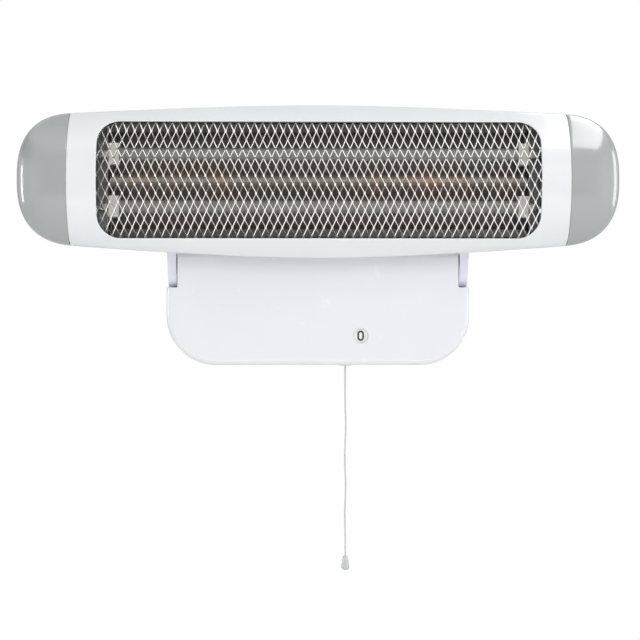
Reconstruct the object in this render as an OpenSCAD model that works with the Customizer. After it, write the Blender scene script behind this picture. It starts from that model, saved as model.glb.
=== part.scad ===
// Wall-mounted radiant heater with two quartz tubes in a tilting head, and a pull-cord switch.
// Millimetres. +Z is up, +X is to the viewer's right and -Y points away from the wall.
// The origin is the centre of the wall-screw pattern, on the wall.

/* [Head] */
// Width of the head over its end caps
head_w = 598; // [585:1:615]
// Width of each end cap
cap_w = 52.5; // [45:0.5:60]
// Height of the head at its middle
head_h = 152; // [148:1:156]
// Height that the outline loses from the middle to a seam, top and bottom together
head_bow = 20.8; // [16:0.2:23]
// Distance from the middle within which the outline curves most
bow_reach = 150; // [120:5:220]
// How far the ends of the head sit above its middle
head_rise = 1.6; // [0:0.1:3]
// Height of the head's centre above the origin
head_z = 133; // [130:1:145]
// Distance of the head's front from the wall
head_reach = 125; // [124:1:135]
// Radius of the front face, from top to bottom
front_r = 100; // [97:1:106]
// Depth of the head's rear half, behind the joint of the two shells
rear_depth = 46; // [44:1:50]
// Wall thickness of the plastic shells
wall = 2.5; // [2:0.1:3]

/* [Opening and grille] */
// Distance from a seam to the opening in the front shell
opening_side = 29; // [27:0.5:36]
// Height of the opening
opening_h = 115; // [110:1:116]
// Corner radius of the opening
opening_r = 21.5; // [15:0.5:30]
// Distance from one strand of the grille to the next, along the head
grille_pitch = 8.3; // [7:0.1:12]
// Height of one diamond of the grille
diamond_h = 17.1; // [14:0.1:24]
// Width of one strand
strand_w = 1.2; // [0.8:0.1:1.6]
// Thickness of the grille's sheet
grille_t = 1.2; // [0.8:0.1:1.6]
// How far the grille's frame reaches past the opening
frame_lap = 5; // [3:0.5:6]

/* [Tubes and reflector] */
// Outer diameter of a quartz tube
tube_d = 13; // [11:0.5:14]
// Wall thickness of a quartz tube
tube_wall = 1; // [0.8:0.1:1.4]
// Distance between the two tubes
tube_gap = 52; // [48:1:54]
// Distance from a side of the opening to where a tube shows
tube_inset = 20; // [18:0.5:28]
// Depth of the tubes' axes behind the head's front
tube_depth = 29; // [27:0.5:31]
// Radius of each trough of the reflector
trough_r = 22; // [21:0.5:23]
// Thickness of the sheet-metal pieces
sheet_t = 0.8; // [0.6:0.1:1]
// Length of a ceramic end along the tube
ceramic_l = 10; // [8:0.5:10.5]
// Height of a ceramic end
ceramic_h = 21; // [17:0.5:23]
// Depth of a ceramic end
ceramic_d = 16; // [15:0.5:20]

/* [Base] */
// Width of the base
base_w = 311; // [306:1:318]
// Height of the base's top above the origin
base_top = 64; // [60:0.5:66]
// Depth of the base's lower edge below the origin
base_bottom = 51.5; // [50:0.5:56]
// Depth of the base from the wall to its front face
base_depth = 48; // [47:0.5:52]
// Radius of the two lower corners
base_r = 51; // [30:1:52]
// Rounding of the base's front edge
base_edge = 6; // [4:0.5:7]
// Thickness of the back plate
plate_t = 3; // [2.5:0.1:3.5]

/* [Tilt hinge] */
// Height of the hinge axis above the origin
hinge_z = 43; // [42:0.5:44]
// Distance of the hinge axis from the wall
hinge_out = 25; // [24:0.5:26]
// Width of an arm, seen from the front
arm_t = 9; // [8.6:0.1:9.6]
// Radius of an arm's lower end
arm_r = 14; // [13:0.5:15]
// Diameter of the hollow pivot sleeve
sleeve_d = 10; // [9:0.5:11]
// Bore of the pivot sleeve, which the hinge lead passes through
sleeve_bore = 6.4; // [5:0.2:6.6]
// Diameter of the lead through the hinge
lead_d = 3.6; // [3:0.2:4]

/* [Wall mount] */
// Distance between the wall holes, from side to side
wall_hole_x = 224; // [200:1:230]
// Distance between the wall holes, up and down
wall_hole_z = 56; // [50:1:60]
// Diameter of a wall hole
wall_hole_d = 5.2; // [4:0.1:6]
// Bore of the grommet that the supply lead comes in through
inlet_d = 7.4; // [6:0.1:9]

/* [Pull switch] */
// Distance of the switch's axis to the right of the base's middle
switch_x = 36.5; // [30:0.5:44]
// Depth of the switch's axis below the origin
switch_low = 9; // [6:0.5:10]
// Radius at which the cord runs on its drum
drum_r = 8; // [7:0.5:9]
// Diameter of the pull cord
cord_d = 1.6; // [1.2:0.1:2.2]
// Diameter of the indicator window
window_d = 15.5; // [12:0.5:17]
// Distance of the window's centre from the switch's axis
window_r = 14.2; // [12:0.1:15]
// Direction of the window from the axis, measured from straight down towards the right
window_turn = 30.5; // [0:0.5:45]
// Height of a numeral on the indicator disc
numeral_h = 10.5; // [7:0.5:11]
// Diameter of the bell-shaped pull at its mouth
bell_d = 8.8; // [8:0.1:12]
// Length of the bell-shaped pull
bell_l = 14.6; // [10:0.2:20]

/* [Hidden] */
$fn = 64;

// Clearances
seat = 0.3;      // between pieces that sit on each other
gap = 0.3;       // between pieces that move past each other
running = 0.05;  // radial, between a shaft and its bore
slack = 0.1;     // radial, between a screw and its hole

// Head surfaces
seam_x = head_w / 2 - cap_w;
opening_w = 2 * (seam_x - opening_side);
tube_len = opening_w - 2 * tube_inset;
half_h = head_h / 2;
front_edge = 2;
front_depth = front_r - sqrt(front_r * front_r - half_h * half_h) + front_edge;
split_y = -head_reach + front_depth;
front_cy = -head_reach + front_r;
rear_r = (half_h * half_h + rear_depth * rear_depth) / (2 * rear_depth);
rear_cy = split_y + rear_depth - rear_r;
cap_power = 2.5;   // how square the outline of an end cap is
cap_taper = 0.0013;
edge_power = 6;    // how tightly the faces round over at the outline
cap_edge_power = 3;  // the same at the far end of a cap
long_steps = 16;
high_steps = 24;
cap_rings = 9;
cap_turns = 16;

// Grille and tubes
grille_r = front_r - wall - 1.5;
tube_y = -head_reach + tube_depth;
tray_x = opening_w / 2 + 4.5;
tray_h = opening_h + 1;
tray_front = grille_y(tray_h / 2) + grille_t + 0.4;
tray_back = tube_y + trough_r + sheet_t + 0.2;
bracket_x = tube_len / 2 + ceramic_l + 1;
reflector_x = bracket_x - 2;
stub_d = 8;
bracket_foot = 8;
tab_w = 6.3;
tab_l = 6.5;

// Screws
screw_d = 3;
screw_head_d = 6;
screw_head_t = 2.4;
boss_d = 9;
shell_seat = split_y + 12;
shell_screw_l = 19;
mid_screw_x = 90;
shell_points = [
    for (sx = [-1, 1], sz = [-1, 1])
    each [[sx * (seam_x - 15), head_z + sz * half_h / 2],
        [sx * mid_screw_x, head_z + sz * (tray_h / 2 + 4.8)]]
];
shield_x = bracket_x - 23.5;
shield_z = 10;
shield_seat = tray_back + sheet_t;

// Arms and hinge
hinge_y = -hinge_out;
arm_in = base_w / 2 - 1 - arm_t;
arm_out = arm_in + arm_t;
arm_wall = 2;
arm_cover_t = 1.5;
arm_top_r = 10;
arm_top_y = tray_back + sheet_t + 2.6 + arm_top_r;
arm_top_z = head_z - 25;
neck_x = arm_in - 1;
shoulder_z = hinge_z - arm_r - gap;
flange_in = arm_in - 24;
flange_front = arm_top_y;
flange_t = 5;
flange_half = 11;
arm_screw_x = arm_in - 15;
arm_screw_z = [arm_top_z - 6, arm_top_z + 6];
arm_screw_seat = flange_front + flange_t + 2.6;
arm_screw_l = 11;
bracket_t = 2.5;
bracket_out = neck_x - 3.5;
washer_t = 1;
nut_t = 5;
nut_w = 17;
sleeve_flange_d = 15;
sleeve_flange_t = 1.5;
arm_boss_d = 15;
lead_meet_x = bracket_out - bracket_t - washer_t - nut_t - 6;

// Base
base_front = -base_depth;
plate_front = -plate_t;
boss_points = [
    for (s = [-1, 1])
    each [[s * (base_w / 2 - 27.5), hinge_z - 23], [s * (base_w / 2 - 75.5), -base_bottom + 9.5]]
];
inlet_x = -70;
inlet_z = 14;
block_l = 40;
block_x = -base_w / 5;
block_z = -24;

// Switch
switch_z = -switch_low;
window_x = switch_x + window_r * sin(window_turn);
window_z = switch_z - window_r * cos(window_turn);
disc_r = window_r + window_d / 2 + 0.8;
disc_front = base_front + wall + 1.6;
disc_t = 1.2;
numeral_t = 0.2;
housing_r = 19;
housing_wall = 2;
housing_front = -30;
cover_t = 2;
spindle_d = 6;
stub_end_d = 4;
drum_y = -22;
drum_l = 8;
flange_r = drum_r + 2.5;
cord_x = switch_x - drum_r;
cord_turn = 150;   // part of a turn of cord that lies on the drum
bush_d = 9;
bell_top_z = -251;
knot_z = bell_top_z - bell_l / 2 - 3;

// Route of the pull cord: sideways offset from its drum side, and height
cord_route = [
    [0, -9], [0, -22], [0, -36], [0, -52], [0, -70], [0, -86], [0.2, -98], [0.6, -110],
    [0.5, -122], [0, -134], [-0.4, -146], [-0.2, -158], [0.4, -170], [0.5, -182], [0.1, -194],
    [-0.3, -206], [-0.2, -218], [0.1, -230], [0.2, -240], [0.2, -250], [0.2, -261]
];

// Where the terminal block and the cut-out sit behind the shield
head_block_x = -72;
head_block_z = head_z - 5;
cutout_x = 30;
wire_y = shield_seat + 5.2;   // depth at which the wires lie behind the shield

// Route of the lead in the arm and the head, from the hinge axis to the head's terminal block
arm_run = [arm_top_y - hinge_y, arm_top_z - hinge_z];
lead_side = arm_in + 5.4;
lead_route = [
    [-lead_meet_x, hinge_y, hinge_z], [-arm_in - 0.5, hinge_y, hinge_z],
    [-arm_in - 4.1, hinge_y - 0.1, hinge_z + 0.2], [-lead_side, hinge_y - 2.4, hinge_z + 4.4],
    [-lead_side, hinge_y + 0.3 * arm_run[0], hinge_z + 0.3 * arm_run[1]],
    [-lead_side + 0.5, hinge_y + 0.6 * arm_run[0], hinge_z + 0.6 * arm_run[1]],
    [-lead_side + 0.6, hinge_y + 0.95 * arm_run[0], hinge_z + 0.95 * arm_run[1]],
    [-arm_in - 4.6, shield_seat + 8.2, arm_top_z + 9], [-arm_in - 1.5, shield_seat + 7.2, head_z - 10],
    [-arm_in + 9.5, shield_seat + 7.2, head_z - 6],
    [0.5 * head_block_x - 0.5 * arm_in - 10, shield_seat + 7.2, head_block_z],
    [head_block_x - 24.3, shield_seat + 7.2, head_block_z]
];

// Route of the lead in the base, from the hinge axis to the mains terminal block
base_lead_route = [
    [-lead_meet_x + 0.3, hinge_y, hinge_z], [-lead_meet_x + 6.5, hinge_y, hinge_z],
    [-lead_meet_x + 14, hinge_y + 1, hinge_z - 7], [-lead_meet_x + 19, hinge_y + 5, hinge_z - 23],
    [-lead_meet_x + 20, hinge_y + 10, block_z + 22], [block_x - 34, plate_front - 9, block_z + 6],
    [block_x - 26, plate_front - 9, block_z + 1], [block_x - block_l / 2 - 0.3, plate_front - 9, block_z]
];

// Routes of the wires in the head: from a tube's terminal tab through the shield's end wall
upper_z = head_z + tube_gap / 2;
lower_z = head_z - tube_gap / 2;
tab_end = bracket_x + 3.5 + tab_l;
upper_exit = [[tab_end + 0.7, tube_y, upper_z], [tab_end + 2, tube_y + 2, upper_z],
    [tab_end + 5.5, tube_y + 5, upper_z], [tab_end + 9.5, tube_y + 10, upper_z],
    [tab_end + 10.5, tube_y + 17, upper_z - 1], [tab_end + 6.5, tube_y + 25, upper_z - 2]];
lower_exit = [[tab_end + 0.7, tube_y, lower_z], [tab_end + 2, tube_y + 2, lower_z],
    [tab_end + 5.5, tube_y + 5, lower_z], [tab_end + 9.5, tube_y + 10, lower_z],
    [tab_end + 10.5, tube_y + 17, lower_z + 1], [tab_end + 6.5, tube_y + 25, lower_z + 3]];
wire_routes = [
    concat([for (p = upper_exit) [-p[0], p[1], p[2]]],
        [[-bracket_x + 2.5, wire_y, upper_z - 3], [-0.72 * bracket_x, wire_y, head_z + 18],
        [head_block_x - 20, wire_y, head_z + 15], [head_block_x - 7, wire_y + 0.8, head_z + 11],
        [head_block_x - 6, wire_y + 0.8, head_z + 5.3]]),
    concat([for (p = lower_exit) [-p[0], p[1], p[2]]],
        [[-bracket_x, wire_y, head_z - 7], [-0.81 * bracket_x, wire_y, head_z + 5],
        [-0.58 * bracket_x, wire_y, head_z + 10], [head_block_x - 23, wire_y + 0.5, head_z + 10],
        [head_block_x - 18, wire_y + 0.8, head_z + 5.3]]),
    concat(upper_exit,
        [[bracket_x - 2.5, wire_y, upper_z - 3], [0.72 * bracket_x, wire_y, head_z + 17],
        [0.24 * bracket_x + 30, wire_y + 2, head_z + 11], [cutout_x + 18, wire_y + 6, head_z + 3],
        [cutout_x + 5.8, wire_y + 6.5, head_z]]),
    concat(lower_exit,
        [[bracket_x - 2.5, wire_y, head_z - 4], [0.79 * bracket_x, wire_y, head_z - 2],
        [0.53 * bracket_x, wire_y, head_z - 11], [0.29 * bracket_x, wire_y, head_z - 21],
        [0, wire_y, head_z - 27], [head_block_x + 28, wire_y + 0.5, head_z - 24],
        [head_block_x + 19, wire_y + 0.8, head_z - 20], [head_block_x + 18, wire_y + 0.8, head_z - 15.3]]),
    [[cutout_x - 5.8, wire_y + 6.5, head_z], [cutout_x - 18, wire_y + 6, head_z + 1],
        [cutout_x - 50, wire_y + 3, head_z + 8], [head_block_x + 28, wire_y + 1, head_z + 11],
        [head_block_x + 19, wire_y + 0.8, head_z + 9], [head_block_x + 18, wire_y + 0.8, head_z + 5.3]]
];

// Points and faces of the head's shells
function share(x) = x / seam_x;
function mid_z(x) = head_z + head_rise * share(x) * share(x);
function bow(x) = sqrt(1 + x * x / (bow_reach * bow_reach)) - 1;
function half_at(x) = half_h - head_bow / 2 * bow(x) / bow(seam_x);
function edge_fall(s, p = edge_power) = pow(max(0, 1 - pow(min(abs(s), 1), p)), 1 / p);
function arc_rise(r, depth, z, w) =
    max(0, sqrt(max(0, pow(r - w, 2) - pow(z - head_z, 2))) - (r - depth));
function face_at(rear, z, s, w, p = edge_power) =
    rear ? split_y + arc_rise(rear_r, rear_depth, z, w) * edge_fall(s, p)
    : split_y - arc_rise(front_r, front_depth, z, w) * edge_fall(s, p);
function face_xz(rear, x, z) = face_at(rear, z, (z - mid_z(x)) / half_at(x), 0);
function grille_y(d) = front_cy - sqrt(grille_r * grille_r - d * d);

function flipped(faces) = [for (f = faces) [f[2], f[1], f[0]]];
function quad(a, b, c, d) = [[a, b, c], [a, c, d]];

function shell_points_grid(rear, w) = [
    for (i = [0:long_steps], j = [0:high_steps])
    let (
        x = -seam_x + 2 * seam_x * i / long_steps,
        s = sin(180 * j / high_steps - 90),
        z = mid_z(x) + s * (half_at(x) - w)
    )
    [x, face_at(rear, z, s, w), z]
];

function shell_index(k, i, j) = (k * (long_steps + 1) + i) * (high_steps + 1) + j;

shell_faces = [
    for (i = [0:long_steps - 1], j = [0:high_steps - 1])
    each concat(
        quad(shell_index(0, i, j), shell_index(0, i, j + 1), shell_index(0, i + 1, j + 1),
            shell_index(0, i + 1, j)),
        quad(shell_index(1, i, j), shell_index(1, i + 1, j), shell_index(1, i + 1, j + 1),
            shell_index(1, i, j + 1))),
    for (i = [0:long_steps - 1])
    each concat(
        quad(shell_index(0, i, 0), shell_index(0, i + 1, 0), shell_index(1, i + 1, 0),
            shell_index(1, i, 0)),
        quad(shell_index(0, i + 1, high_steps), shell_index(0, i, high_steps),
            shell_index(1, i, high_steps), shell_index(1, i + 1, high_steps))),
    for (j = [0:high_steps - 1])
    each concat(
        quad(shell_index(0, 0, j + 1), shell_index(0, 0, j), shell_index(1, 0, j),
            shell_index(1, 0, j + 1)),
        quad(shell_index(0, long_steps, j), shell_index(0, long_steps, j + 1),
            shell_index(1, long_steps, j + 1), shell_index(1, long_steps, j)))
];

module half_shell(rear) {
    polyhedron(concat(shell_points_grid(rear, 0), shell_points_grid(rear, wall)),
        rear ? flipped(shell_faces) : shell_faces);
}

// Points and faces of an end cap, on rings round the middle of the seam
function cap_point(rear, w, ring, turn) =
    let (
        rho = sin(90 * ring / cap_rings),
        angle = 180 * turn / cap_turns - 90,
        x = seam_x + (cap_w - w) * rho * pow(cos(angle), 2 / cap_power),
        side = sign(sin(angle)) * pow(abs(sin(angle)), 2 / cap_power),
        z = mid_z(seam_x) + (half_at(seam_x) - w) * rho * side * (1 - cap_taper * (x - seam_x)),
        p = edge_power + (cap_edge_power - edge_power) * cos(angle) * cos(angle)
    )
    [x, face_at(rear, z, rho, w, p), z];

cap_skin = cap_rings * (cap_turns + 1) + 1;
// Index of a point: the skins of one wall share their outermost ring
function cap_index(k, rear, ring, turn) =
    ring == 0 ? (2 * k + rear) * cap_skin
    : (2 * k + (ring == cap_rings ? 0 : rear)) * cap_skin + 1 + (ring - 1) * (cap_turns + 1) + turn;

function cap_skin_points(rear, w) = concat(
    [cap_point(rear, w, 0, cap_turns / 2)],
    [for (ring = [1:cap_rings], turn = [0:cap_turns]) cap_point(rear, w, ring, turn)]
);

function cap_skin_faces(k, rear) = [
    for (turn = [0:cap_turns - 1])
    [cap_index(k, rear, 0, 0), cap_index(k, rear, 1, turn + 1), cap_index(k, rear, 1, turn)],
    for (ring = [1:cap_rings - 1], turn = [0:cap_turns - 1])
    each quad(cap_index(k, rear, ring, turn), cap_index(k, rear, ring, turn + 1),
        cap_index(k, rear, ring + 1, turn + 1), cap_index(k, rear, ring + 1, turn))
];

function cap_end_faces(rear) = [
    for (ring = [0:cap_rings - 1])
    each concat(
        quad(cap_index(0, rear, ring + 1, cap_turns), cap_index(0, rear, ring, cap_turns),
            cap_index(1, rear, ring, cap_turns), cap_index(1, rear, ring + 1, cap_turns)),
        quad(cap_index(0, rear, ring, 0), cap_index(0, rear, ring + 1, 0),
            cap_index(1, rear, ring + 1, 0), cap_index(1, rear, ring, 0)))
];

// Outline of the head's section at the seam, set in by w, as points in depth and height
function seam_section(w) = concat(
    [for (j = [0:high_steps])
        let (s = sin(180 * j / high_steps - 90), z = mid_z(seam_x) + s * (half_at(seam_x) - w))
        [face_at(0, z, s, w), z]],
    [for (j = [high_steps - 1:-1:1])
        let (s = sin(180 * j / high_steps - 90), z = mid_z(seam_x) + s * (half_at(seam_x) - w))
        [face_at(1, z, s, w), z]]
);

// Smooth route through hand-chosen points, and a tube swept along it
function blend_point(a, b, c, d, t) =
    0.5 * ((2 * b) + (c - a) * t + (2 * a - 5 * b + 4 * c - d) * t * t
        + (3 * b - a - 3 * c + d) * t * t * t);
function smooth_route(p, n) = let (m = len(p) - 1) concat(
    [for (i = [0:m - 1], k = [0:n - 1])
        blend_point(p[max(0, i - 1)], p[i], p[i + 1], p[min(m, i + 2)], k / n)],
    [p[m]]
);
function unit(v) = v / norm(v);
function heading(p, i) = unit(p[min(len(p) - 1, i + 1)] - p[max(0, i - 1)]);

module swept(p, d, sides, ref) {
    last = len(p) - 1;
    points = [
        for (i = [0:last])
        let (t = heading(p, i), a = unit(cross(ref, t)), b = cross(t, a))
        for (k = [0:sides - 1])
        p[i] + d / 2 * (cos(360 * k / sides) * a + sin(360 * k / sides) * b)
    ];
    faces = concat(
        [for (i = [0:last - 1], k = [0:sides - 1])
            each quad(i * sides + k, (i + 1) * sides + k, (i + 1) * sides + (k + 1) % sides,
                i * sides + (k + 1) % sides)],
        [for (k = [1:sides - 2]) each [
            [0, k, k + 1],
            [last * sides, last * sides + k + 1, last * sides + k]]]
    );
    polyhedron(points, faces);
}

// Plain shapes in the part's own directions
module along_x(x0, x1) {
    translate([x0, 0, 0]) rotate([90, 0, 90]) linear_extrude(x1 - x0) children();
}

module along_y(y0, y1) {
    translate([0, y1, 0]) rotate([90, 0, 0]) linear_extrude(y1 - y0) children();
}

module rod_x(x0, x1, y, z, d) {
    translate([x0, y, z]) rotate([0, 90, 0]) cylinder(d = d, h = x1 - x0);
}

module rod_y(y0, y1, x, z, d) {
    translate([x, y1, z]) rotate([90, 0, 0]) cylinder(d = d, h = y1 - y0);
}

module box(x0, x1, y0, y1, z0, z1) {
    translate([x0, y0, z0]) cube([x1 - x0, y1 - y0, z1 - z0]);
}

module both_sides() {
    children();
    mirror([1, 0, 0]) children();
}

// Two solids for the two tubes, above and below the head's centre
module both_tubes() {
    for (s = [-1, 1]) translate([0, 0, head_z + s * tube_gap / 2]) children();
}

module round_rect(w, h, r) {
    square([w - 2 * r, h], center = true);
    square([w, h - 2 * r], center = true);
    for (sx = [-1, 1], sz = [-1, 1]) translate([sx * (w / 2 - r), sz * (h / 2 - r)]) circle(r);
}

// Screw that points to -Y, with its head's seat at y
module screw_y(x, y, z, l) {
    rod_y(y - l, y + 0.01, x, z, screw_d);
    difference() {
        rod_y(y, y + screw_head_t, x, z, screw_head_d);
        translate([x - 2, y + screw_head_t - 1, z - 0.4]) cube([4, 2, 0.8]);
        translate([x - 0.4, y + screw_head_t - 1, z - 2]) cube([0.8, 2, 4]);
    }
}

module screw_hole_y(y0, y1, x, z) {
    rod_y(y0, y1, x, z, screw_d + 2 * slack);
}

// Head

module opening_shape(grow) {
    translate([0, head_z])
        round_rect(opening_w + 2 * grow, opening_h + 2 * grow, opening_r + grow);
}

module head_front_shell() color("#e8ecf0") difference() {
    union() {
        half_shell(0);
        for (p = shell_points)
            let (away = p[1] + sign(p[1] - head_z) * boss_d / 2)
            rod_y(face_xz(0, p[0], away) + 0.8, split_y, p[0], p[1], boss_d);
    }
    along_y(-head_reach - 1, split_y - 1) opening_shape(0);
    grille_sheet(1, grille_r + seat + 0.1, frame_lap + seat);
    for (p = shell_points)
        screw_hole_y(shell_seat - shell_screw_l - 0.5, split_y + 1, p[0], p[1]);
}

module head_rear_shell() color("#e4e8ec") difference() {
    union() {
        half_shell(1);
        for (p = shell_points)
            let (away = p[1] + sign(p[1] - head_z) * boss_d / 2)
            rod_y(split_y, face_xz(1, p[0], away) - 0.8, p[0], p[1], boss_d);
        for (sx = [-1, 1], z = arm_screw_z)
            rod_y(flange_front + flange_t + 0.05, face_xz(1, arm_screw_x, z - boss_d / 2) - 0.8,
                sx * arm_screw_x, z, boss_d);
        for (sx = [-1, 1], sz = [-1, 1])
            rod_y(shield_seat + 0.05, face_xz(1, shield_x, head_z + shield_z + boss_d / 2) - 0.8,
                sx * shield_x, head_z + sz * shield_z, boss_d);
    }
    for (p = shell_points) {
        screw_hole_y(split_y - 1, shell_seat + 1, p[0], p[1]);
        rod_y(shell_seat, split_y + rear_depth + 5, p[0], p[1], screw_head_d + 0.8);
    }
    for (sx = [-1, 1], z = arm_screw_z) {
        screw_hole_y(flange_front, arm_screw_seat + 1, sx * arm_screw_x, z);
        rod_y(arm_screw_seat, split_y + rear_depth + 5, sx * arm_screw_x, z, screw_head_d + 0.8);
    }
    for (sx = [-1, 1], sz = [-1, 1])
        screw_hole_y(shield_seat - 1, shield_seat + 11, sx * shield_x, head_z + sz * shield_z);
    both_sides() along_x(arm_in - gap, arm_out + gap) arm_outline(gap);
    vents();
}

vent_w = 26;
vent_h = 3.2;
vent_rows = [34, 42, 50];
module vents() {
    for (i = [-6:6], d = vent_rows)
        along_y(split_y + 6, split_y + rear_depth + 1)
            translate([i * 34 - vent_w / 2, head_z + d]) square([vent_w, vent_h]);
    for (i = [-3:3])
        along_y(split_y + 6, split_y + rear_depth + 1)
            translate([i * 34 - vent_w / 2, head_z - 50]) square([vent_w, vent_h]);
}

module end_cap() {
    polyhedron(
        concat(cap_skin_points(0, 0), cap_skin_points(1, 0), cap_skin_points(0, wall),
            cap_skin_points(1, wall)),
        concat(cap_skin_faces(0, 0), flipped(cap_skin_faces(0, 1)), flipped(cap_skin_faces(1, 0)),
            cap_skin_faces(1, 1), cap_end_faces(0), flipped(cap_end_faces(1)))
    );
    // Rib and collar that plug into the ends of the shells
    along_x(seam_x + 0.6, seam_x + 2.6) difference() {
        polygon(seam_section(1.2));
        polygon(seam_section(wall + 2));
    }
    along_x(seam_x - 7, seam_x + 2.6) difference() {
        polygon(seam_section(wall + seat));
        polygon(seam_section(wall + 2));
    }
}

module end_cap_right() color("#aeb4b6") end_cap();
module end_cap_left() color("#aeb4b6") mirror([1, 0, 0]) end_cap();

// Sheet of the grille, bent like the front face, between two radii
module grille_sheet(r_in, r_out, grow) {
    intersection() {
        along_x(-opening_w / 2 - grow, opening_w / 2 + grow) translate([front_cy, head_z])
            difference() {
                circle(r_out);
                circle(r_in);
            }
        along_y(-head_reach, split_y) opening_shape(grow);
    }
}

strand_lean = atan(diamond_h / grille_pitch);
strand_n = ceil((opening_w / 2 + opening_h / 2) / grille_pitch);
module strands(lean) {
    for (i = [-strand_n:strand_n])
        along_y(-head_reach, split_y) translate([i * grille_pitch, head_z])
            rotate(lean) square([opening_h * 1.3, strand_w], center = true);
}

module guard_grille() color("#c9c6c0") {
    middle = grille_r - grille_t / 2;
    difference() {
        grille_sheet(grille_r - grille_t, grille_r, frame_lap);
        along_y(-head_reach - 1, split_y) opening_shape(0.5);
    }
    intersection() {
        strands(strand_lean);
        grille_sheet(middle + 0.03, grille_r - 0.05, 2.5);
    }
    intersection() {
        strands(-strand_lean);
        grille_sheet(grille_r - grille_t + 0.05, middle - 0.03, 2.5);
    }
}

module quartz_tube(s) color("#8d8a86") {
    l = tube_len / 2 + ceramic_l - 4;
    z = head_z + s * tube_gap / 2;
    difference() {
        rod_x(-l, l, tube_y, z, tube_d);
        rod_x(-l - 1, l + 1, tube_y, z, tube_d - 2 * tube_wall);
    }
}
module quartz_tube_upper() quartz_tube(1);
module quartz_tube_lower() quartz_tube(-1);

module heating_coil(s) color("#6f665e") {
    l = tube_len / 2 + ceramic_l - 5;
    d = tube_d - 2 * tube_wall - 0.5;
    z = head_z + s * tube_gap / 2;
    difference() {
        rod_x(-l, l, tube_y, z, d);
        rod_x(-l - 1, l + 1, tube_y, z, d - 1.2);
    }
}
module heating_coil_upper() heating_coil(1);
module heating_coil_lower() heating_coil(-1);

module ceramic_ends() color("#cbc5ba") both_tubes() difference() {
    union() {
        box(tube_len / 2, tube_len / 2 + ceramic_l, tube_y - ceramic_d / 2, tube_y + ceramic_d / 2,
            -ceramic_h / 2, ceramic_h / 2);
        rod_x(tube_len / 2 + ceramic_l - 1, bracket_x + 3.5, tube_y, 0, stub_d);
    }
    rod_x(tube_len / 2 - 1, tube_len / 2 + ceramic_l - 3, tube_y, 0, tube_d + 2 * slack);
    rod_x(tube_len / 2, bracket_x + 4, tube_y, 0, 2.4);
}
module ceramic_ends_right() ceramic_ends();
module ceramic_ends_left() mirror([1, 0, 0]) ceramic_ends();

module tube_terminals() color("#c8ccd0") both_sides() both_tubes() {
    x = bracket_x + 3.5;
    rod_x(tube_len / 2 + ceramic_l - 3.5, x + 0.6, tube_y, 0, 2.2);
    difference() {
        box(x + 0.1, x + tab_l, tube_y - sheet_t / 2, tube_y + sheet_t / 2, -tab_w / 2, tab_w / 2);
        rod_y(tube_y - 2, tube_y + 2, x + tab_l - 2.4, 0, 1.6);
    }
}

module tube_bracket() color("#b4b7b8") {
    difference() {
        box(bracket_x, bracket_x + sheet_t, tray_front + 0.5, tray_back - seat / 2,
            head_z - tray_h / 2 + 2, head_z + tray_h / 2 - 2);
        both_tubes() rod_x(bracket_x - 1, bracket_x + 3, tube_y, 0, stub_d + 2 * slack);
    }
    box(bracket_x + sheet_t / 2, bracket_x + bracket_foot, tray_back - seat / 2 - sheet_t,
        tray_back - seat / 2, head_z - bracket_foot, head_z + bracket_foot);
}
module tube_bracket_right() tube_bracket();
module tube_bracket_left() mirror([1, 0, 0]) tube_bracket();

ridge_half = tube_gap / 2 - trough_r;
module reflector() color("#8f8f90") along_x(-reflector_x, reflector_x) {
    lip = tray_h / 2 - sheet_t - seat;
    edge = tray_front + 0.3;
    top = tube_gap / 2 + trough_r;
    tip = tube_y - 5;
    translate([0, head_z]) {
        for (s = [-1, 1]) {
            // Trough
            translate([tube_y, s * tube_gap / 2]) difference() {
                circle(trough_r + sheet_t);
                circle(trough_r);
                translate([-2 * trough_r, -2 * trough_r]) square([2 * trough_r, 4 * trough_r]);
            }
            // Flange
            flange = [
                [tube_y + 0.4, s * (top + 0.2)], [tube_y + 0.4, s * (top + sheet_t - 0.2)],
                [tube_y, s * (top + sheet_t)], [edge, s * lip], [edge, s * (lip - sheet_t)],
                [tube_y, s * top]
            ];
            polygon(s > 0 ? flange : [for (i = [5:-1:0]) flange[i]]);
        }
        // Ridge between the troughs, folded from the same sheet and open behind
        polygon([
            [tube_y + 0.4, ridge_half - 0.2], [tube_y, ridge_half], [tip, 1.5], [tip, -1.5],
            [tube_y, -ridge_half], [tube_y + 0.4, 0.2 - ridge_half],
            [tube_y + 0.4, sheet_t - ridge_half - 0.2], [tube_y, sheet_t - ridge_half],
            [tip + sheet_t, sheet_t - 1.5], [tip + sheet_t, 1.5 - sheet_t],
            [tube_y, ridge_half - sheet_t], [tube_y + 0.4, ridge_half - sheet_t + 0.2]
        ]);
    }
}

module heat_shield() color("#a7a9aa") difference() {
    box(-tray_x, tray_x, tray_front, tray_back + sheet_t, head_z - tray_h / 2, head_z + tray_h / 2);
    box(-tray_x + sheet_t, tray_x - sheet_t, tray_front - 1, tray_back,
        head_z - tray_h / 2 + sheet_t, head_z + tray_h / 2 - sheet_t);
    for (sx = [-1, 1], sz = [-1, 1])
        screw_hole_y(tray_back - 1, tray_back + 2, sx * shield_x, head_z + sz * shield_z);
    for (sx = [-1, 1]) both_tubes()
        rod_x(sx * tray_x - 2, sx * tray_x + 2, tube_y + 4, 0, 9);
}

module shield_screws() color("#c0c4c8") for (sx = [-1, 1], sz = [-1, 1])
    translate([sx * shield_x, tray_back - 0.05, head_z + sz * shield_z]) rotate([-90, 0, 0]) {
        cylinder(d = screw_d, h = 10);
        translate([0, 0, -1]) cylinder(d = 5.6, h = 1.01);
    }

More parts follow.
